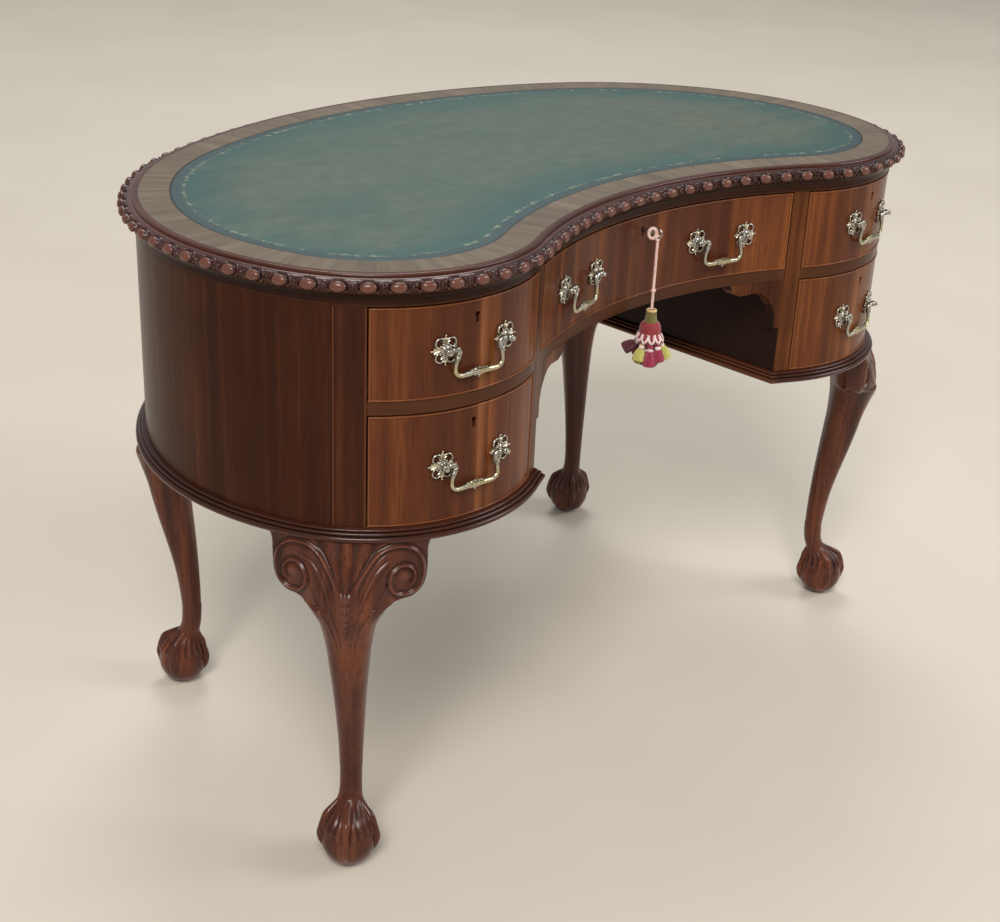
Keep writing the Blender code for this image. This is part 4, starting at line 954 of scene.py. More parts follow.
def make_edge_moulding():
    """Carved moulding round the top, a bead to every pitch of its length."""
    ground, width = smooth_curve(GROUND, 27)
    runs = spaced(-HALF_RUN, HALF_RUN, 0.0011)
    lengths = lengths_along([wall_point(station, 0.016) for station in runs])
    pitch = lengths[-1] / BEAD_COUNT
    rows = []
    relief = []
    for station, along in zip(runs[:-1], lengths):
        row = []
        scallop = SCALLOP * math.cos(math.tau * along / pitch)
        for index, spot in enumerate(ground):
            share = index / (len(ground) - 1)
            slope = direction(ground, index)
            edge = rise(share, 0.0, 0.08) * rise(1 - share, 0.0, 0.12)
            lifted = bead_relief(along, (share - 0.46) * width, pitch) * edge
            offset = spot.x + slope.y * lifted + scallop * bell(share - 0.1, 0.08)
            height = min(max(spot.y - slope.x * lifted, 0.0), MOULDING_HEIGHT)
            row.append(lift(station, offset, MOULDING_LOW + height))
            # The lower lip takes the worn colour too, partly a painted highlight along it
            lower_lip = 0.7 * bell(share - 0.09, 0.05)
            relief.append(lifted / (RUBBED_AND_LIT_HEIGHT if lifted > 0 else SUNK_DEPTH) + lower_lip)
        row.append(lift(station, MOULDING_BACK, MOULDING_LOW + MOULDING_HEIGHT))
        row.append(lift(station, MOULDING_BACK, MOULDING_LOW))
        relief += [0.0, 0.0]
        rows.append(row)
    mesh = lofted("beaded_edge_moulding", rows, ring=True, sharp=60.0)
    mark_points(mesh, relief)
    put_wood(mesh, "beads", "edge_moulding")


make_edge_moulding()


# Leather

LEATHER_INSET = 0.042
LEATHER_STEPS = (0.0, 0.0008, 0.002, 0.004, 0.008, 0.012, 0.018, 0.026, 0.036, 0.05, 0.07, 0.09, 0.11)
TOOLED_LINE = 0.0165
TOOLED_WAVES = 150
WAVE_DEPTH = 0.0016
STEM_WIDTH = 0.0011
LEAF_WIDTH = 0.0014
LEAF_DEPTH = 0.0034
LEAF_LEAN = 0.30
CURL_WIDTH = 0.0009
CURL_MIDDLE = 0.0019
# Radius of a tendril at its root, and how much less it has at its tip
CURL_RADIUS = (0.0017, 0.0009)
GILT_LOW = DESK_HEIGHT - 0.0001
GILT_HIGH = DESK_HEIGHT + 0.00008


def make_leather():
    """The hide in its fine groove, with its distance from the edge kept for its colour."""
    heights = [DESK_HEIGHT - 0.001, DESK_HEIGHT - 0.00035, DESK_HEIGHT - 0.00005]
    heights += [DESK_HEIGHT] * (len(LEATHER_STEPS) - 2)
    profile = [(-LEATHER_INSET - step, height) for step, height in zip((0.0, *LEATHER_STEPS), heights)]
    mesh = lofted("hide_inset", round_rows(profile), sharp=60.0)
    insets = [max(0.0, -wall_place(vertex.co)[1] - LEATHER_INSET) for vertex in mesh.vertices]
    mark_points(mesh, insets, "from_edge")
    put("hide_inset", mesh, "leather", "case", ["leather_inset"])


def add_stroke(bm, line, width):
    """A flat gilt stroke along (station, inset) pairs, lying on the hide."""
    rows = []
    for index, (station, inset) in enumerate(line):
        after, before = line[min(index + 1, len(line) - 1)], line[max(index - 1, 0)]
        run = Vector((after[0] - before[0], after[1] - before[1])).normalized()
        thin = width / 2 * (0.35 + 0.65 * math.sin(math.pi * (index + 0.5) / len(line)))
        row = []
        for side, height in ((1, GILT_LOW), (1, GILT_HIGH), (-1, GILT_HIGH), (-1, GILT_LOW)):
            row.append(lift(station - side * run.y * thin, -inset - side * run.x * thin, height))
        rows.append(row)
    skin(bm, rows)


def make_tooling():
    """Gilt line round the hide: a running stem with a pair of leaves and a tendril in each of its waves."""
    pitch = WHOLE_RUN / TOOLED_WAVES
    line = LEATHER_INSET + TOOLED_LINE
    bm = bmesh.new()
    for wave in range(TOOLED_WAVES):
        start = -HALF_RUN + wave * pitch
        side = 1 if wave % 2 else -1
        stem = []
        for t in range(15):
            stem.append((start + pitch * t / 14, line + side * WAVE_DEPTH * math.sin(math.pi * t / 14)))
        add_stroke(bm, stem, STEM_WIDTH)
        along, inset = start + pitch / 2, line + side * WAVE_DEPTH
        for lean in (-LEAF_LEAN, LEAF_LEAN):
            leaf = []
            for t in range(8):
                bend = LEAF_DEPTH * math.sin(math.pi * 0.62 * t / 7)
                leaf.append((along + lean * pitch * t / 7, inset - side * bend))
            add_stroke(bm, leaf, LEAF_WIDTH)
        curl = []
        for t in range(12):
            turn = 1.5 * math.pi * t / 11
            radius = CURL_RADIUS[0] - CURL_RADIUS[1] * t / 11
            bend = CURL_MIDDLE - radius * math.cos(turn)
            curl.append((along + radius * math.sin(turn), inset + side * bend))
        add_stroke(bm, curl, CURL_WIDTH)
    put("gilt_tooling", close("gilt_tooling", bm, sharp=60.0), "gilding", "case")


make_leather()
make_tooling()


# Drawer fronts

DRAWER_LEVELS = {"upper": (0.6168, 0.7238), "lower": (0.4658, 0.5998)}
DRAWER_GAP = 0.001
DRAWER_SPACING = 0.005
BEAD_SUNK = 0.0004
KEYHOLE_DROP = 0.0175
KEYHOLE_RADIUS = 0.0033
KEYHOLE_SLOT = 0.0020
KEYHOLE_FOOT = -0.0090
LOCK_DEPTH = 0.009
# Pocket for the lock: half its width, and its lower and upper edge from the keyhole
POCKET = (0.0203, KEYHOLE_DROP - 0.0293, KEYHOLE_DROP + 0.004)
BREAK_OUT = 0.004


def keyhole_outline():
    lean = math.asin(KEYHOLE_SLOT / KEYHOLE_RADIUS)
    start = -math.pi / 2 + lean
    turns = [start + (math.tau - 2 * lean) * step / 18 for step in range(19)]
    points = [(KEYHOLE_RADIUS * math.cos(turn), KEYHOLE_RADIUS * math.sin(turn)) for turn in turns]
    return points + [(-KEYHOLE_SLOT, KEYHOLE_FOOT), (KEYHOLE_SLOT, KEYHOLE_FOOT)]


def face_frame(station, height, offset=0.0):
    """Frame on the wall: X along it, Y inwards, Z up."""
    normal = wall_normal(station)
    turn = Matrix.Rotation(math.atan2(normal.x, -normal.y), 4, "Z")
    return Matrix.Translation(lift(station, offset, height)) @ turn


def make_front(name, start, end, station, low, high):
    """A veneered drawer front with its keyhole and lock pocket, and its cock beads."""
    runs = spaced(start, end, DRAWER_SPACING)
    board = lofted(f"{name}_board", swept_rows(slab(VENEER_FACE, low, high), runs))
    here = face_frame(station, high - KEYHOLE_DROP)
    half, foot, head = POCKET
    corners = ((-half, foot), (half, foot), (half, head), (-half, head))
    holes = (
        ("keyhole", keyhole_outline(), (-BREAK_OUT, WALL + BREAK_OUT)),
        ("pocket", corners, (WALL - LOCK_DEPTH - SEAM, WALL + BREAK_OUT)),
    )
    for label, outline, depths in holes:
        hole = lofted(label, [[here @ Vector((x, depth, z)) for x, z in outline] for depth in depths])
        board = cut(board, hole, f"{name}_board")
    bm = bmesh.new()
    bm.from_mesh(board)
    radius = BEAD_WIDTH / 2
    for height in (low + radius, high - radius):
        profile = arc_points((-BEAD_SUNK, height), radius, 90, -90, 8)
        profile += [(-radius, height - radius), (-radius, height + radius)]
        skin(bm, swept_rows(profile, runs))
    for at in (start + radius, end - radius):
        add_pillar(bm, at, -BEAD_SUNK, radius, low, high)
    mesh = close(f"{name}_drawer_front_veneered", bm, sharp=40.0)
    # The cock beads take the worn colour, partly a painted highlight along them
    mark_points(mesh, [(wall_place(vertex.co)[1] - VENEER_FACE) / BEAD_HEIGHT for vertex in mesh.vertices])
    put_wood(mesh, "front", f"{name}_drawer_front", body=f"{name}_drawer")


def make_fronts():
    outer = front_station(POST_EDGE - DRAWER_GAP)
    inner = front_station(STILE_EDGE + DRAWER_GAP)
    for tier, levels in DRAWER_LEVELS.items():
        for name, side in SIDES:
            start, end = (outer, inner) if side > 0 else (-inner, -outer)
            make_front(f"{tier}_{name}", start, end, KEYHOLE_STATION * side, *levels)
    start = front_station(KNEEHOLE_HALF - DRAWER_GAP)
    make_front("centre", start, WHOLE_RUN - start, HALF_RUN, *DRAWER_LEVELS["upper"])


make_fronts()


# Legs

LEG_TOP = BASE_UNDERSIDE - SEAM
LEG_FOOT = 0.105
KNEE_OUT = 0.0358
ANKLE_OUT = -0.0170
LEG_BACK = -0.0430
LEG_BACK_NEAREST = -0.0300
LEG_TOP_HALF_WIDTH = 0.0440
ANKLE_HALF_WIDTH = 0.0138
FOOT_OUT = -0.008
BALL_RADIUS = 0.0335
BALL_HALF_HEIGHT = 0.0345
REAR_LEAN = 0.0055
# Shares from the top down: height above the foot, reach from ankle to knee, depth of the back and width
LEG_SHARES = (
    (1.0, 0.52, 1.0, 1.0), (0.93, 0.74, 0.70, 1.0), (0.86, 0.90, 0.40, 1.0), (0.80, 0.995, 0.22, 0.98),
    (0.755, 1.0, 0.05, 0.86), (0.70, 0.90, 0.0, 0.68), (0.625, 0.76, 0.04, 0.46), (0.535, 0.64, 0.25, 0.345),
    (0.435, 0.48, 0.50, 0.245), (0.335, 0.31, 0.72, 0.165), (0.23, 0.155, 0.90, 0.093),
    (0.13, 0.06, 1.0, 0.033), (0.05, 0.01, 1.0, 0.007), (0.0, 0.0, 1.0, 0.0),
)
# Outline of the knee with its scrolled ears from the top down: height and half width. The ears end with row 14
KNEE_EDGE = (
    (0.4502, 0.0930), (0.4455, 0.0905), (0.4390, 0.0890), (0.4280, 0.0888), (0.4160, 0.0888), (0.4060, 0.0882),
    (0.3960, 0.0862), (0.3880, 0.0822), (0.3820, 0.0764), (0.3785, 0.0700), (0.3772, 0.0640), (0.3766, 0.0580),
    (0.3760, 0.0525), (0.3752, 0.0485), (0.3728, 0.0456), (0.3685, 0.0428), (0.3630, 0.0400), (0.3560, 0.0366),
    (0.3480, 0.0336), (0.3400, 0.0314), (0.3300, 0.0293), (0.3200, 0.0278), (0.3100, 0.0263),
)
EAR_ROWS = 14
# Ankle and the web over the ball from the top down: height, radius, and the share of the way from ankle to foot
WEB = (
    (0.1260, 0.0138, 0.0), (0.1100, 0.0137, 0.03), (0.0970, 0.0138, 0.10), (0.0870, 0.0146, 0.26),
    (0.0800, 0.0170, 0.48), (0.0740, 0.0212, 0.70), (0.0680, 0.0256, 0.88), (0.0610, 0.0296, 0.97),
    (0.0550, 0.0322, 1.0), (0.0490, 0.0338, 1.0), (0.0430, 0.0343, 1.0), (0.0380, 0.0328, 1.0),
)
# One talon from the ankle to its tip: distance from the foot's middle, height and thickness
TALON = (
    (0.0085, 0.0860, 0.0030), (0.0130, 0.0800, 0.0042), (0.0198, 0.0735, 0.0050), (0.0262, 0.0660, 0.0062),
    (0.0306, 0.0570, 0.0050), (0.0326, 0.0485, 0.0053), (0.0334, 0.0400, 0.0062), (0.0330, 0.0320, 0.0050),
    (0.0316, 0.0250, 0.0043), (0.0292, 0.0185, 0.0030), (0.0266, 0.0130, 0.0010),
)
# Direction of each talon in degrees, and the share of its length that it keeps
TALONS = ((90, 1.0), (270, 0.94), (6, 0.92), (174, 0.92))
# Ridge of a scroll from the foot of the fan to its eye: distance from the leg's middle, and height
VOLUTE = (
    (0.0066, 0.3880), (0.0084, 0.3970), (0.0138, 0.4110), (0.0222, 0.4250), (0.0315, 0.4366), (0.0410, 0.4426),
    (0.0510, 0.4448), (0.0610, 0.4444), (0.0705, 0.4406), (0.0783, 0.4328), (0.0824, 0.4215), (0.0830, 0.4085),
    (0.0804, 0.3962), (0.0741, 0.3872), (0.0650, 0.3834), (0.0557, 0.3846), (0.0487, 0.3902), (0.0452, 0.3985),
    (0.0455, 0.4075), (0.0495, 0.4148), (0.0562, 0.4192), (0.0641, 0.4194), (0.0704, 0.4152), (0.0736, 0.4084),
    (0.0730, 0.4006), (0.0690, 0.3948), (0.0628, 0.3928),
)
# Inner edge of the scroll's band, from the ring down to the husks
BAND_EDGE = (
    (0.0600, 0.4330), (0.0500, 0.4306), (0.0405, 0.4254), (0.0320, 0.4175), (0.0252, 0.4065), (0.0198, 0.3955),
    (0.0166, 0.3840), (0.0148, 0.3720),
)
# Edge of the fan between the two scrolls: height, and distance from the leg's middle
FAN_EDGE = (
    (0.386, 0.0040), (0.397, 0.0075), (0.411, 0.0128), (0.4255, 0.0212), (0.438, 0.0305), (0.4502, 0.0460),
)
FAN_FOOT = 0.368
FAN_LOW = 0.388
FLUTES = 27
# Height of each husk's middle, and the first one's half width and half height
HUSKS = (0.3905, 0.3790, 0.3685, 0.3590, 0.3505, 0.3430, 0.3365)
HUSK_HALF = (0.0052, 0.0064)
# Height, and distance of the first vein from the leg's middle
VEINS = ((0.290, 0.0030), (0.345, 0.0085), (0.385, 0.0180), (0.415, 0.0300))
VEIN_WIDTH = 0.0011
# The eye of a scroll, at a distance from the leg's middle and at a height
EYE = (0.0612, 0.4062)
EYE_RADIUS = 0.0088
EYE_HEIGHT = 0.0030
CARVING_LOW = 0.292
CARVED_HEIGHT = 0.0016
EAR_BACK = -0.016
EAR_FRONT = 0.0092
EAR_EDGE_RADIUS = 0.0045
# Half widths over which the knee swells out between its ears, in front and behind
KNEE_SWELL = (0.062, 0.048)
# Heights between which the ears set in, the leg's lean dies out, its section turns from oval to boxed, and its
# rows bend to follow the wall
EARS_SET_IN = (0.3710, 0.3760)
LEAN_DIES_OUT = (0.34, 0.40)
BOXED = (0.15, 0.27)
FOLLOWING = (0.345, 0.385)
# Rows of a leg from the top down to the ankle: from one height to another, and how far apart
LEG_LEVELS = (
    (0.3800, LEG_TOP, 0.0010), (0.3720, 0.3800, 0.0004), (CARVING_LOW, 0.3720, 0.0014),
    (WEB[0][0], CARVING_LOW, 0.0055),
)
WEB_SPACING = 0.0022
LEG_FRONT_STEPS = 200
LEG_BACK_STEPS = 56
OUTLINE_TREE = tree_of(smooth_curve([(width, height) for height, width in KNEE_EDGE[:EAR_ROWS]], 460)[0])


def between(table, value):
    """The row of a table at this value of its first column, on a smooth curve through the rows."""
    falling = table[0][0] > table[-1][0]
    keys = [-row[0] if falling else row[0] for row in table]
    aim = -value if falling else value
    index = min(max(bisect.bisect_right(keys, aim), 1), len(keys) - 1)
    gap = keys[index] - keys[index - 1]
    t = min(max((aim - keys[index - 1]) / gap, 0.0), 1.0)
    result = []
    for column in range(1, len(table[0])):
        slopes = []
        for at in (index - 1, index):
            low, high = max(at - 1, 0), min(at + 1, len(keys) - 1)
            slopes.append((table[high][column] - table[low][column]) / (keys[high] - keys[low]) * gap)
        one, two = table[index - 1][column], table[index][column]
        cubic = (2 * t**3 - 3 * t**2 + 1) * one + (t**3 - 2 * t**2 + t) * slopes[0]
        result.append(cubic + (3 * t**2 - 2 * t**3) * two + (t**3 - t**2) * slopes[1])
    return result


class Ridge:
    """A raised line on the knee, with a furrow beside it. Its ends fade over shares of its length."""

    def __init__(self, knots, count, height, width, depth, furrow, furrow_width, start, end):
        self.line = smooth_curve(knots, count)[0]
        self.tree = tree_of(self.line)
        self.height, self.width, self.start, self.end = height, width, start, end
        self.depth, self.furrow, self.furrow_width = depth, furrow, furrow_width

    def relief(self, x, z):
        _, index, distance = self.tree.find((x, z, 0.0))
        share = index / (len(self.line) - 1)
        bold = self.height * rise(share, 0.0, self.start) * rise(1.0 - share, 0.0, self.end)
        beside = self.depth * bell(distance - self.furrow, self.furrow_width)
        return bold * (bell(distance, self.width) - beside)


SCROLL = Ridge(VOLUTE, 460, 0.0021, 0.0014, 0.75, 0.0038, 0.0020, 0.08, 0.05)
SCROLL_BAND = Ridge(BAND_EDGE, 300, 0.0012, 0.0013, 0.7, 0.0032, 0.0016, 0.3, 0.3)


def carving(across, height):
    """Depth of the carving on a knee and its ears, at a distance from the leg's middle and at a height."""
    x = abs(across)
    if height < CARVING_LOW:
        return 0.0
    relief = SCROLL.relief(x, height) + SCROLL_BAND.relief(x, height)
    eye = math.hypot(x - EYE[0], height - EYE[1])
    relief = max(relief, EYE_HEIGHT * math.sqrt(max(0.0, 1 - (eye / EYE_RADIUS) ** 2)) - 0.0014)
    # Fan of flutes between the two scrolls
    if height > FAN_LOW:
        lean = math.atan2(x, height - FAN_FOOT)
        inside = rise(between(FAN_EDGE, height)[0] - x, 0.001, 0.005) * rise(height, 0.390, 0.402)
        relief += 0.0012 * inside * (math.cos(lean * FLUTES) - 0.35)
    # Husks hanging below the fan, each smaller than the one above
    for number, middle in enumerate(HUSKS):
        size = 1 - 0.10 * number
        drop = (height - middle) / (HUSK_HALF[1] * size)
        wide = x / (HUSK_HALF[0] * size * (1.0 + 0.45 * drop))
        if abs(drop) < 1 and abs(wide) < 1:
            round_ = math.sqrt(max(0.0, 1 - wide * wide - drop * drop))
            relief += 0.0024 * size * round_ * (0.75 + 0.25 * math.cos(3 * math.pi * wide))
    # Veins run on down the leg
    vein = between(VEINS, height)[0]
    fade = rise(height, CARVING_LOW, 0.335) * rise(0.418 - height, 0.0, 0.012)
    for part in (1.0, 1.75):
        relief -= 0.0009 * fade * bell(x - vein * part, VEIN_WIDTH)
        relief += 0.0005 * fade * bell(x - vein * part - 2 * VEIN_WIDTH, VEIN_WIDTH)
    return relief


def across_steps(count):
    """Shares of the half width from one side to the other, closer together at the sides."""
    return [0.6 * (1 - 2 * step / count) + 0.4 * math.cos(math.pi * step / count) for step in range(count + 1)]


FRONT_SHARES = across_steps(LEG_FRONT_STEPS)
BACK_SHARES = across_steps(LEG_BACK_STEPS)[-2:0:-1]


def rounded(share, power):
    """Height of a curve between an oval and a box over its middle, at this share of its half width."""
    return max(0.0, 1 - abs(share) ** power) ** (1 / power)


def knee_row(z, lean):
    """Section of the leg above its ankle: across, outwards and the carving's depth."""
    reach, depth, width = between(LEG_SHARES, (z - LEG_FOOT) / (LEG_TOP - LEG_FOOT))
    eared = rise(z, *EARS_SET_IN)
    leaning = lean * (1 - rise(z, *LEAN_DIES_OUT))
    out = leaning + ANKLE_OUT + (KNEE_OUT - ANKLE_OUT) * reach
    back = leaning + LEG_BACK_NEAREST + (LEG_BACK - LEG_BACK_NEAREST) * depth
    half = ANKLE_HALF_WIDTH + (LEG_TOP_HALF_WIDTH - ANKLE_HALF_WIDTH) * width
    if z > KNEE_EDGE[-1][0]:
        half = between(KNEE_EDGE, z)[0]
    power = 2.0 + 0.55 * rise(z, *BOXED)
    middle = (out + back) / 2
    row = []
    for share in FRONT_SHARES:
        x = share * half
        plain = middle + (out - back) / 2 * rounded(share, power)
        depth = carving(x, z)
        if eared > 0:
            rim = OUTLINE_TREE.find((abs(x), z, 0.0))[2]
            edge = math.sqrt(1 - (1 - min(rim / EAR_EDGE_RADIUS, 1.0)) ** 2)
            swell = max(0.0, 1 - (x / KNEE_SWELL[0]) ** 2) ** 1.5
            ear = EAR_FRONT - EAR_EDGE_RADIUS * (1 - edge) + (out - EAR_FRONT) * swell
            plain += (ear - plain) * eared
            depth *= 1 + (edge - 1) * eared
        depth *= rise(1 - abs(share), 0.0, 0.12) * (1 - eared) + eared
        row.append((x, plain + depth, depth))
    for share in BACK_SHARES:
        x = share * half
        plain = middle - (out - back) / 2 * rounded(share, power)
        ear = EAR_BACK + (back - EAR_BACK) * rounded(x / KNEE_SWELL[1], 2.6)
        row.append((x, plain + (ear - plain) * eared, 0.0))
    return row


def foot_middle(z, lean):
    """How far out the middle of the ankle or of the foot is at a height."""
    ankle = lean + (ANKLE_OUT + LEG_BACK) / 2
    return ankle + (FOOT_OUT - ankle) * min(between(WEB, z)[1], 1.0)


def ankle_row(z, lean):
    """Section of the ankle and of the web that spreads from it over the ball in fine ridges."""
    radius, middle = between(WEB, z)[0], foot_middle(z, lean)
    row = []
    for index, share in enumerate(FRONT_SHARES + BACK_SHARES):
        angle = math.acos(min(max(share, -1.0), 1.0)) * (1 if index <= LEG_FRONT_STEPS else -1)
        ridge = 0.0010 * rise(0.084 - z, 0.0, 0.016) * (1.0 - 0.5 * rise(0.052 - z, 0.0, 0.012))
        ridges = ridge * (math.cos(20 * angle) - 0.4)
        scallop = 0.0040 * (1 - math.cos(4 * (angle - math.pi / 2))) * rise(0.056 - z, 0.0, 0.016)
        reach = radius + ridges - scallop
        row.append((reach * math.cos(angle), middle + reach * math.sin(angle), ridges * 1.4))
    return row


def leg_sections(lean):
    """Height and section of every row of a leg, from the top down."""
    levels = [LEG_TOP]
    for low, high, spacing in LEG_LEVELS:
        levels += spaced(low, high, spacing)[-2::-1]
    sections = [(z, knee_row(z, lean)) for z in levels]
    return sections + [(z, ankle_row(z, lean)) for z in spaced(WEB[-1][0], WEB[0][0], WEB_SPACING)[-2::-1]]


def ball_rows():
    rows = []
    for step in range(1, 32):
        angle = math.pi * step / 32
        radius = BALL_RADIUS * math.sin(angle)
        middle = Vector((0.0, -FOOT_OUT, max(0.0, BALL_RADIUS + BALL_HALF_HEIGHT * math.cos(angle))))
        rows.append(circle(middle, X_AXIS * radius, Y_AXIS * -radius, 64))
    return rows


def talon_rows(lean, degrees, length):
    """One toe, knuckled, closing on the ball."""
    spots = smooth_curve(TALON, 52)[0]
    spots = spots[: round(len(spots) * length)]
    away, sideways = turned(X_AXIS, -Y_AXIS, math.radians(degrees))
    line = [Vector((0.0, -foot_middle(spot.y, lean), spot.y)) + away * spot.x for spot in spots]
    rows = []
    for index, (spot, place) in enumerate(zip(spots, line)):
        outward = sideways.cross(direction(line, index)).normalized()
        ending = math.sqrt(max(0.0, min(1.0, (len(spots) - 1 - index) / 9 + 0.02)))
        thick = max(spot.z * ending, 0.0003)
        rows.append(circle(place, sideways * (-0.88 * thick), outward * -thick, 20))
    return rows


def make_leg(node, degrees, side, lean, sections):
    station = station_at_turn(degrees) * side
    stand = face_frame(station, 0.0)
    rows = []
    relief = []
    for z, section in sections:
        follow = rise(z, *FOLLOWING)
        row = []
        for x, outward, depth in section:
            place = stand @ Vector((x, -outward, z))
            row.append(place.lerp(lift(station - x, outward, z), follow))
            # The carving's depth sets its colour: raised parts worn and partly painted highlight, sunk parts
            # painted shade
            relief.append(depth / CARVED_HEIGHT)
        rows.append(row)
    bm = bmesh.new()
    skin(bm, rows)
    for rows in [ball_rows()] + [talon_rows(lean, turn, length) for turn, length in TALONS]:
        skin(bm, [[stand @ place for place in row] for row in rows])
    mesh = close(f"{node}_carved", bm, sharp=48.0)
    mark_points(mesh, relief)
    put_wood(mesh, "carved", node, grained=False)


for end, degrees, lean in (("front", FRONT_LEG_TURN, 0.0), ("rear", REAR_LEG_TURN, REAR_LEAN)):
    sections = leg_sections(lean)
    for name, side in SIDES:
        make_leg(f"{end}_{name}_leg", degrees, side, lean, sections)


# Handles

POST_HALF_SPAN = 0.041
PIVOT_OUT = 0.0090
ROSETTE_GAP = 0.0007
HANDLE_HEIGHT_SHARE = 0.52
CENTRE_HANDLE_SHARE = 0.57
PIN_RADIUS = 0.0012
BAIL_RADIUS = 0.0029
BAIL_MIDDLE_RADIUS = 0.0046
BAIL_DROP = 0.0305
LEAFAGE_HALF = 0.0135
LEAF_PITCH = 0.0046
# Half of the bail from its pin to the middle, as in the part's source: how far in and how low, as shares of the
# drop, and its thickness, from 0 for the pin to 1 for the plain bar
BAIL_NECK = (
    (0.0, 0.0, 0.0), (0.15, 0.0, 0.0), (0.19, -0.01, 0.85), (0.27, -0.04, 1.15), (0.37, -0.03, 1.25),
    (0.45, 0.04, 1.25), (0.46, 0.14, 1.2), (0.42, 0.29, 1.0), (0.36, 0.46, 0.7), (0.33, 0.64, 0.55),
    (0.33, 0.79, 0.65), (0.39, 0.91, 0.85), (0.55, 1.0, 1.0), (0.83, 1.0, 1.25),
)
# Drops under the middle of the bar: place along it, distance below it and size
BAIL_DROPS = ((0.0, 0.0062, 0.0015), (0.0, 0.0043, 0.0021), (-0.0046, 0.0040, 0.0013), (0.0046, 0.0040, 0.0013))
# Boss, neck, head and knob of a post: radius, and distance out from the rosette's back
POST_PROFILE = (
    (0.0020, -0.0190), (0.0020, 0.0006), (0.0056, 0.0008), (0.0058, 0.0018), (0.0050, 0.0026), (0.0040, 0.0029),
    (0.0030, 0.0036), (0.0027, 0.0046), (0.0031, 0.0054), (0.0038, 0.0062), (0.0040, 0.0080), (0.0040, 0.0100),
    (0.0037, 0.0116), (0.0028, 0.0124), (0.0016, 0.0127), (0.0015, 0.0131), (0.0024, 0.0136), (0.0029, 0.0144),
    (0.0026, 0.0152), (0.0014, 0.0157),
)
FOILS = (52, 128, 232, 308)
FOIL_MIDDLE = 0.0106
# Radius, half thickness across and along its axis, and steps round it
FOIL_RING = (0.0055, 0.0011, 0.0014, 36)
CAST_MIDDLE = 0.0012
# Web behind a palmette: distance outwards and sideways
PALMETTE_WEB = ((0.0050, -0.0012), (0.0118, -0.0034), (0.0158, 0.0), (0.0118, 0.0034), (0.0050, 0.0012))
# Palmette between two foils: lean of each rib in radians, and how far out it reaches
PALMETTE = ((-0.50, 0.0126), (-0.25, 0.0142), (0.0, 0.0160), (0.25, 0.0142), (0.50, 0.0126))
RIB_START = 0.0068
# One rib from its root to its tip: share of its length, half width and height over the drawer front
RIB = (
    (0.0, 0.0004, 0.0009), (0.3, 0.0006, 0.0013), (0.65, 0.0007, 0.0015), (0.9, 0.0006, 0.0013),
    (1.0, 0.0003, 0.0009),
)
# Section of a rib, as shares of its half width and its height
RIB_SECTION = ((-1, 0.0), (-1, 0.6), (0, 1.0), (1, 0.6), (1, 0.0))


def turned_rows(profile, sides, place):
    """Rings of points round the local Z axis for (radius, distance along it) pairs."""
    rings = [circle(Z_AXIS * along, X_AXIS * radius, Y_AXIS * radius, sides) for radius, along in profile]
    return [[place @ point for point in ring] for ring in rings]


def globe_rows(radius, middle, sides=14):
    rows = []
    for step in range(1, sides // 2 + 1):
        angle = math.pi * (step - 0.5) / (sides // 2)
        ring = radius * math.sin(angle)
        rows.append(circle(middle + Z_AXIS * (radius * math.cos(angle)), X_AXIS * ring, Y_AXIS * ring, sides))
    return rows


def add_ring(bm, middle, across, up, radius, thick, deep, steps, sides=12, swell=0.0):
    """A closed ring with an oval section. across and up span its plane."""
    out = across.cross(up).normalized()
    rows = []
    for step in range(steps):
        turn = math.tau * step / steps
        away, _ = turned(across, up, turn)
        size = 1 + swell * math.cos(turn)
        rows.append(circle(middle + away * radius, away * (thick * size), out * (deep * size), sides))
    skin(bm, rows, ring=True)


def rosette_mesh():
    """Pierced rosette with its post, in a frame with X along the wall, Y inwards and Z up."""
    bm = bmesh.new()
    outward = -Y_AXIS
    skin(bm, turned_rows(POST_PROFILE, 28, Matrix.Rotation(math.pi / 2, 4, "X")))
    for degrees in FOILS:
        away, side = turned(X_AXIS, Z_AXIS, math.radians(degrees))
        middle = away * FOIL_MIDDLE + outward * CAST_MIDDLE
        add_ring(bm, middle, away, side, *FOIL_RING, swell=0.12)
        for lean in (-13, 13):
            curl, _ = turned(X_AXIS, Z_AXIS, math.radians(degrees + lean))
            skin(bm, globe_rows(0.0012, curl * 0.0076 + outward * 0.0015, 10))
    for quarter in range(4):
        away, side = turned(X_AXIS, Z_AXIS, math.radians(90 * quarter))
        web = [away * out + side * across for out, across in PALMETTE_WEB]
        skin(bm, [[spot + outward * height for spot in web] for height in (0.0002, 0.0010)])
        for lean, reach in PALMETTE:
            tip = turned(away, side, lean)[0] * reach
            root = away * RIB_START
            beside = (tip - root).normalized().cross(outward)
            rows = []
            for share, half, height in RIB:
                spot = root.lerp(tip, share)
                rows.append([spot + beside * (half * x) + outward * (height * y) for x, y in RIB_SECTION])
            skin(bm, rows)
        skin(bm, globe_rows(0.0013, away * 0.0168 + outward * CAST_MIDDLE, 12))
    return close("rosette", bm, sharp=42.0)


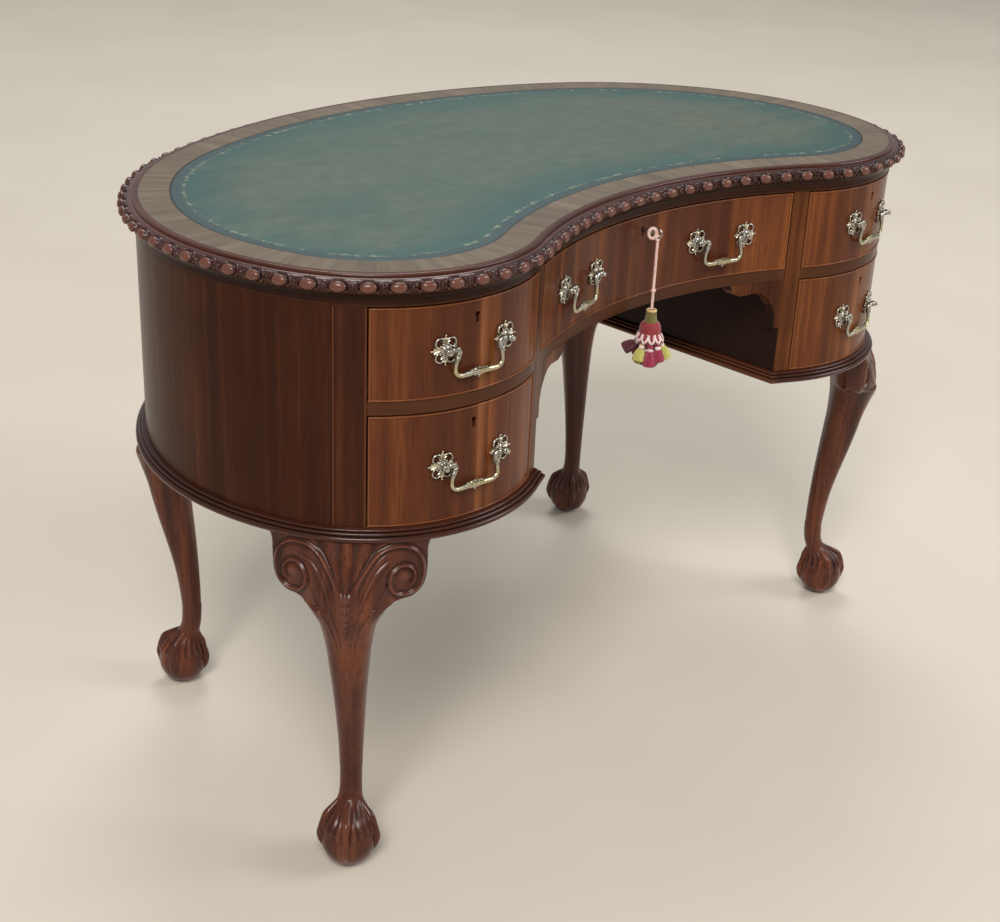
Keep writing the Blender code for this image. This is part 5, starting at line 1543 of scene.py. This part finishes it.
def bail_mesh(half_span):
    """Swan neck bail about its pins: X along the drawer, Y inwards, Z up. The middle of its bar is leafed."""
    half = []
    for inward, low, thick in BAIL_NECK:
        radius = PIN_RADIUS + (BAIL_RADIUS - PIN_RADIUS) * thick
        half.append((BAIL_DROP * inward - half_span, -BAIL_DROP * low, radius))
    half.append((half[-1][0] / 2, -BAIL_DROP * 0.985, (BAIL_RADIUS + BAIL_MIDDLE_RADIUS) / 2))
    bar = -BAIL_DROP * 0.97
    other = [(-x, z, radius) for x, z, radius in reversed(half)]
    spots = smooth_curve([*half, (0.0, bar, BAIL_MIDDLE_RADIUS), *other], 190)[0]
    line = [Vector((spot.x, 0.0, spot.y)) for spot in spots]
    rows = []
    handled = []
    for index, (spot, place) in enumerate(zip(spots, line)):
        up = direction(line, index).cross(-Y_AXIS)
        # Leafage over the middle of the bar and collars on the necks
        leafed = rise(LEAFAGE_HALF - abs(spot.x), 0.0, 0.003) if spot.y < -BAIL_DROP * 0.8 else 0.0
        share = index / (len(spots) - 1)
        neck = min(share, 1 - share)
        collar = 0.0005 * max(0.0, math.cos((neck - 0.075) * 520))
        collar *= rise(neck, 0.055, 0.075) * rise(0.19 - neck, 0.0, 0.03)
        row = []
        for side in range(24):
            turn = math.tau * side / 24
            notch = abs((abs(spot.x) / LEAF_PITCH - 0.42 * abs(math.sin(turn * 1.5))) % 1.0 - 0.5)
            leaf = 0.0009 * math.cos(3 * turn) ** 2 - 0.0007 - 0.0009 * bell(0.5 - notch, 0.10)
            radius = max(0.0004, spot.z + leafed * leaf + collar)
            row.append(place + turned(up, -Y_AXIS, turn)[0] * radius)
            handled.append(rise(-spot.y / BAIL_DROP, 0.30, 0.75))
        rows.append(row)
    bm = bmesh.new()
    skin(bm, rows)
    for x, drop, size in BAIL_DROPS:
        skin(bm, globe_rows(size, Vector((x, 0.0, bar - drop))))
    mesh = close("bail", bm, sharp=50.0)
    mark_points(mesh, handled)
    return mesh


ROSETTE = rosette_mesh()


def make_handle(name, station, levels, drawer):
    height = levels[0] + (levels[1] - levels[0]) * HANDLE_HEIGHT_SHARE
    stations = sorted((station - POST_HALF_SPAN, station + POST_HALF_SPAN), key=lambda at: wall_point(at).x)
    heads = [lift(at, PIVOT_OUT + ROSETTE_GAP, height) for at in stations]
    for label, at in zip(("left", "right"), stations):
        mesh = ROSETTE.copy()
        mesh.transform(face_frame(at, height, ROSETTE_GAP))
        node = f"{name}_{label}_rosette"
        put(f"{node}_cast", mesh, "brass", drawer, [node])
    span = heads[1] - heads[0]
    mesh = bail_mesh(span.length / 2)
    turn = Matrix.Rotation(math.atan2(span.y, span.x), 4, "Z")
    mesh.transform(Matrix.Translation((heads[0] + heads[1]) / 2) @ turn)
    put(f"{name}_bail_leafed", mesh, "brass", f"{name}_bail", [f"{name}_bail"])


def make_handles():
    centre = front_station(KNEEHOLE_HALF * CENTRE_HANDLE_SHARE)
    for tier, levels in DRAWER_LEVELS.items():
        for name, side in SIDES:
            make_handle(f"{tier}_{name}", KEYHOLE_STATION * side, levels, f"{tier}_{name}_drawer")
    for name, side in SIDES:
        make_handle(f"centre_{name}", centre * side, DRAWER_LEVELS["upper"], "centre_drawer")


make_handles()


# Key

BOW_MIDDLE = 0.0244
BOW_RADIUS = 0.0060
BOW_THICKNESS = 0.0012
# Radius, and distance out from the drawer's face
SHANK = (
    (0.0021, -0.0172), (0.0021, 0.0020), (0.0021, 0.0098), (0.0030, 0.0102), (0.0030, 0.0112), (0.0021, 0.0117),
    (0.0021, 0.0140), (0.0032, 0.0145), (0.0034, 0.0157), (0.0022, 0.0166), (0.0016, 0.0180),
)
BIT = ((-0.0009, -0.0065), (0.0009, -0.0065), (0.0009, 0.0), (-0.0009, 0.0))
BIT_SPAN = (0.0132, 0.0169)


def make_key():
    bm = bmesh.new()
    skin(bm, turned_rows(SHANK, 24, Matrix.Translation(KEY_AXIS) @ Matrix.Rotation(math.pi / 2, 4, "X")))
    middle = KEY_AXIS - Y_AXIS * BOW_MIDDLE
    add_ring(bm, middle, Y_AXIS, Z_AXIS, BOW_RADIUS, BOW_THICKNESS, BOW_THICKNESS, 44, 14)
    skin(bm, [[KEY_AXIS + Vector((x, depth, z)) for x, z in BIT] for depth in BIT_SPAN])
    put("key_turned", close("key_turned", bm, sharp=45.0), "steel", "key", ["key"])


make_key()


# Tassel

TASSEL_TOP = CORD_TOP - Z_AXIS * CORD_LENGTH
# Radius and height over the tassel's top, for the neck that the wound head is built on
CAP = (
    (0.0030, -0.0032), (0.0056, -0.0012), (0.0064, -0.0030), (0.0068, -0.0080), (0.0074, -0.0130),
    (0.0086, -0.0180), (0.0090, -0.0210), (0.0070, -0.0225),
)
PLUG = ((0.0004, -0.0002), (0.0026, -0.0005), (0.0046, -0.0014), (0.0046, -0.0030), (0.0020, -0.0036))
BAND = (
    (0.0070, -0.0168), (0.0100, -0.0174), (0.0122, -0.0205), (0.0134, -0.0255), (0.0139, -0.0305),
    (0.0128, -0.0348), (0.0080, -0.0358),
)
CORE = (
    (0.0060, -0.0320), (0.0116, -0.0350), (0.0128, -0.0400), (0.0122, -0.0490), (0.0098, -0.0550),
    (0.0050, -0.0570),
)
# One small tassel of the skirt: radius and distance below its tie
BOB = (
    (0.0010, 0.0086), (0.0026, 0.0070), (0.0034, 0.0046), (0.0030, 0.0020), (0.0030, -0.0014),
    (0.0044, -0.0034), (0.0058, -0.0066), (0.0067, -0.0106), (0.0071, -0.0146), (0.0071, -0.0170),
    (0.0054, -0.0182),
)
# Turn round the cord in degrees, distance from the middle, height over the top, lean outwards, size and colour
SKIRT = (
    (133, 0.0155, -0.0455, 58, 1.10, "maroon"), (184, 0.0158, -0.0485, 24, 1.05, "lime"),
    (226, 0.0150, -0.0515, 9, 1.18, "crimson"), (268, 0.0154, -0.0495, 12, 1.00, "crimson"),
    (309, 0.0162, -0.0480, 22, 1.08, "lime"), (351, 0.0145, -0.0490, 18, 1.10, "maroon"),
    (32, 0.0150, -0.0475, 20, 1.05, "olive"), (83, 0.0145, -0.0490, 16, 1.12, "crimson"),
    (204, 0.0080, -0.0540, 8, 1.05, "maroon"), (256, 0.0075, -0.0560, 6, 1.02, "olive"),
    (318, 0.0085, -0.0545, 8, 1.05, "crimson"), (20, 0.0080, -0.0550, 6, 1.05, "lime"),
    (100, 0.0085, -0.0550, 8, 1.05, "maroon"), (157, 0.0085, -0.0550, 10, 1.05, "lime"),
)
LOOPS = 22
# Looped cords from under the band: colour, the first loop that has it, and thickness
LOOP_CORDS = (("white", "white", 0, 0.0018), ("red", "crimson", 1, 0.0014))
# Distance from the middle and drop of a loop's ends, how much more its middle has, and half its width
LOOP_ENDS = (0.0122, 0.0320)
LOOP_SWING = (0.0054, 0.0098)
LOOP_HALF = 0.0044
LOOSE_END_TURN = (-0.684, 0.729, 0.0)
LOOSE_END_SHIFT = 0.0070
LOOSE_END_OVAL = (0.0048, 0.0066)
LOOSE_END_RADIUS = 0.0022
KNOT_SHARE = 0.73
KNOT_DROP = 0.0012
# Rings: radius, half thickness across and along their axis, steps round them and sides
RIM = (0.0055, 0.0014, 0.0016, 40, 10)
TIE = (0.0027, 0.0014, 0.0027, 20, 8)
CORD_LOOP = (0.0030, 0.0013, 0.0014, 28, 10)
CORD_KNOT = (0.0021, 0.0013, 0.0012, 24, 10)


def add_strands(bm, profile, sides, depth, place, twist=0.0):
    """A turned form whose surface is laid in strands."""
    rows = []
    for number, spot in enumerate(smooth_curve(profile, 26)[0]):
        row = []
        for side in range(sides * 4):
            turn = math.tau * side / (sides * 4)
            radius = max(0.0003, spot.x + depth * math.cos(sides * turn + twist * number))
            row.append(place @ Vector((radius * math.cos(turn), radius * math.sin(turn), spot.y)))
        rows.append(row)
    skin(bm, rows)


def add_loop(bm, turn, thick):
    """A cord looped out from under the band."""
    away, side = turned(X_AXIS, Y_AXIS, turn)
    line = []
    for step in range(17):
        swing = math.pi * step / 16
        reach = LOOP_ENDS[0] + LOOP_SWING[0] * math.sin(swing)
        drop = LOOP_ENDS[1] + LOOP_SWING[1] * math.sin(swing) ** 1.5
        line.append(TASSEL_TOP + away * reach + side * (LOOP_HALF * math.cos(swing)) - Z_AXIS * drop)
    rows = []
    for index, spot in enumerate(line):
        ahead = direction(line, index)
        beside = ahead.orthogonal().normalized()
        rows.append(circle(spot, beside * thick, ahead.cross(beside) * thick, 9))
    skin(bm, rows)


def add_loose_end(bm):
    """The soft loose end of the loop, an oval hoop beside the key's bow."""
    beside = Vector(LOOSE_END_TURN)
    across = beside.cross(Z_AXIS)
    middle = KEY_AXIS + Vector((0.0, -BOW_MIDDLE, -0.0004)) + beside * LOOSE_END_SHIFT
    hoop = circle(middle, beside * LOOSE_END_OVAL[0], Z_AXIS * LOOSE_END_OVAL[1], 40)
    rows = []
    for index, spot in enumerate(hoop):
        ahead = (hoop[(index + 1) % len(hoop)] - hoop[index - 1]).normalized()
        rows.append(circle(spot, across * LOOSE_END_RADIUS, ahead.cross(across) * LOOSE_END_RADIUS, 10))
    skin(bm, rows, ring=True)


def make_tassel():
    """The pieces of the tassel: a wound head, a chenille band, looped cords and two rows of small tassels."""
    top = Matrix.Translation(TASSEL_TOP)
    shapes = {name: bmesh.new() for name in ("head", "rim", "band", "core", "white_loops", "red_loops")}
    add_strands(shapes["head"], CAP, 22, 0.00022, top)
    add_ring(shapes["rim"], TASSEL_TOP - Z_AXIS * RIM[2], X_AXIS, Y_AXIS, *RIM)
    add_strands(shapes["band"], BAND, 26, 0.0006, top, twist=0.9)
    add_strands(shapes["band"], PLUG, 12, 0.0002, top)
    add_strands(shapes["core"], CORE, 30, 0.0005, top)
    finishes = {"head": "olive", "rim": "gold", "band": "red", "core": "maroon"}
    for name, finish, first, thick in LOOP_CORDS:
        finishes[f"{name}_loops"] = finish
        for number in range(first, LOOPS, 2):
            add_loop(shapes[f"{name}_loops"], math.tau * number / LOOPS, thick)
    ties = bmesh.new()
    for degrees, distance, height, lean, size, colour in SKIRT:
        turn = math.radians(degrees)
        tilt = Matrix.Rotation(turn, 4, "Z") @ Matrix.Rotation(-math.radians(lean), 4, "Y")
        spot = TASSEL_TOP + Vector((distance * math.cos(turn), distance * math.sin(turn), height))
        at = Matrix.Translation(spot) @ tilt @ Matrix.Diagonal((size, size, size, 1.0))
        finishes[f"{colour}_bobs"] = colour
        add_strands(shapes.setdefault(f"{colour}_bobs", bmesh.new()), BOB, 15, 0.00045, at)
        middle = at @ (Z_AXIS * 0.0002)
        across, up = [(at @ (axis + Z_AXIS * 0.0002) - middle).normalized() for axis in (X_AXIS, Y_AXIS)]
        add_ring(ties, middle, across, up, *TIE)
    # Loop through the key's bow, its loose end, and the knots under it and further down the cord
    knots = bmesh.new()
    add_ring(knots, CORD_TOP + Z_AXIS * KNOT_DROP, X_AXIS, Z_AXIS, *CORD_LOOP)
    add_loose_end(knots)
    skin(knots, globe_rows(0.0025, CORD_TOP - Z_AXIS * KNOT_DROP, 16))
    lower = CORD_TOP - Z_AXIS * (CORD_LENGTH * KNOT_SHARE)
    for tilt in (-0.5, 0.5):
        add_ring(knots, lower, turned(X_AXIS, Z_AXIS, tilt)[0], Y_AXIS, *CORD_KNOT)
    shapes |= {"ties": ties, "knots": knots}
    finishes |= {"ties": "white", "knots": "pink"}
    pieces = []
    for name, bm in shapes.items():
        mesh = close(f"tassel_{name}", bm, sharp=60.0)
        nodes = ["tassel"] if name == "head" else []
        pieces.append(put(mesh.name, mesh, finishes[name], "tassel", nodes))
    return pieces


TASSEL_PIECES = make_tassel()


# Ground, light and air

FLOOR_REACH = 40.0
# Name, place, size, power and colour
LAMPS = (
    ("key_light", (-4.6, -3.6, 6.2), 3.2, 520.0, (1.0, 0.975, 0.94)),
    ("fill_light", (4.4, -4.6, 4.0), 3.4, 210.0, (0.95, 0.98, 1.0)),
    ("back_light", (3.2, 3.6, 6.6), 3.4, 220.0, (0.94, 1.0, 0.97)),
)
LIT_POINT = Vector((0, 0, 0.45))
AIR_COLOUR = (0.93, 0.95, 0.94, 1.0)
AIR_STRENGTH = 0.34


def make_stage():
    mesh = bpy.data.meshes.new("floor")
    corners = [(x * FLOOR_REACH, y * FLOOR_REACH, 0) for x, y in ((-1, -1), (1, -1), (1, 1), (-1, 1))]
    mesh.from_pydata(corners, [], [(0, 1, 2, 3)])
    floor = added("floor", mesh)
    paint = Paint("pale_floor", roughness=0.75)
    cloud = paint.noise(paint.place(), 1.5, 3.0)
    paint.set("Base Color", paint.ramp(cloud, (0.3, (0.62, 0.545, 0.46)), (0.7, (0.66, 0.585, 0.50))))
    mesh.materials.append(paint.material)


def make_light():
    for name, place, size, power, colour in LAMPS:
        data = bpy.data.lights.new(name, "AREA")
        data.size = size
        data.energy = power
        data.color = colour
        lamp = added(name, data)
        lamp.location = place
        lamp.rotation_euler = (LIT_POINT - Vector(place)).to_track_quat("-Z", "Y").to_euler()
    world = bpy.data.worlds.new("studio")
    bpy.context.scene.world = world
    world.use_nodes = True
    background = world.node_tree.nodes["Background"]
    background.inputs["Color"].default_value = AIR_COLOUR
    background.inputs["Strength"].default_value = AIR_STRENGTH


make_stage()
make_light()


# Finishes of the CAD nodes, by the first of these words in the name. Those that show stay as they are

NODE_FINISHES = (
    ("drawer_box", "timber"),
    ("drawer_front", "front"),
    ("rosette", "brass"),
    ("bail", "brass"),
    ("lock", "brass"),
    ("key", "steel"),
    ("shelf", "inner"),
    ("base_board", "inner"),
    ("base_rail", "inner"),
    ("kneehole", "stile"),
    ("top_frame", "inner"),
    ("tassel", "crimson"),
)
for node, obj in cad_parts.items():
    finish = next((finish for word, finish in NODE_FINISHES if word in node), "inner")
    obj.data.materials.clear()
    obj.data.materials.append(MATERIALS[finish])

bpy.context.scene.view_settings.view_transform = "Standard"
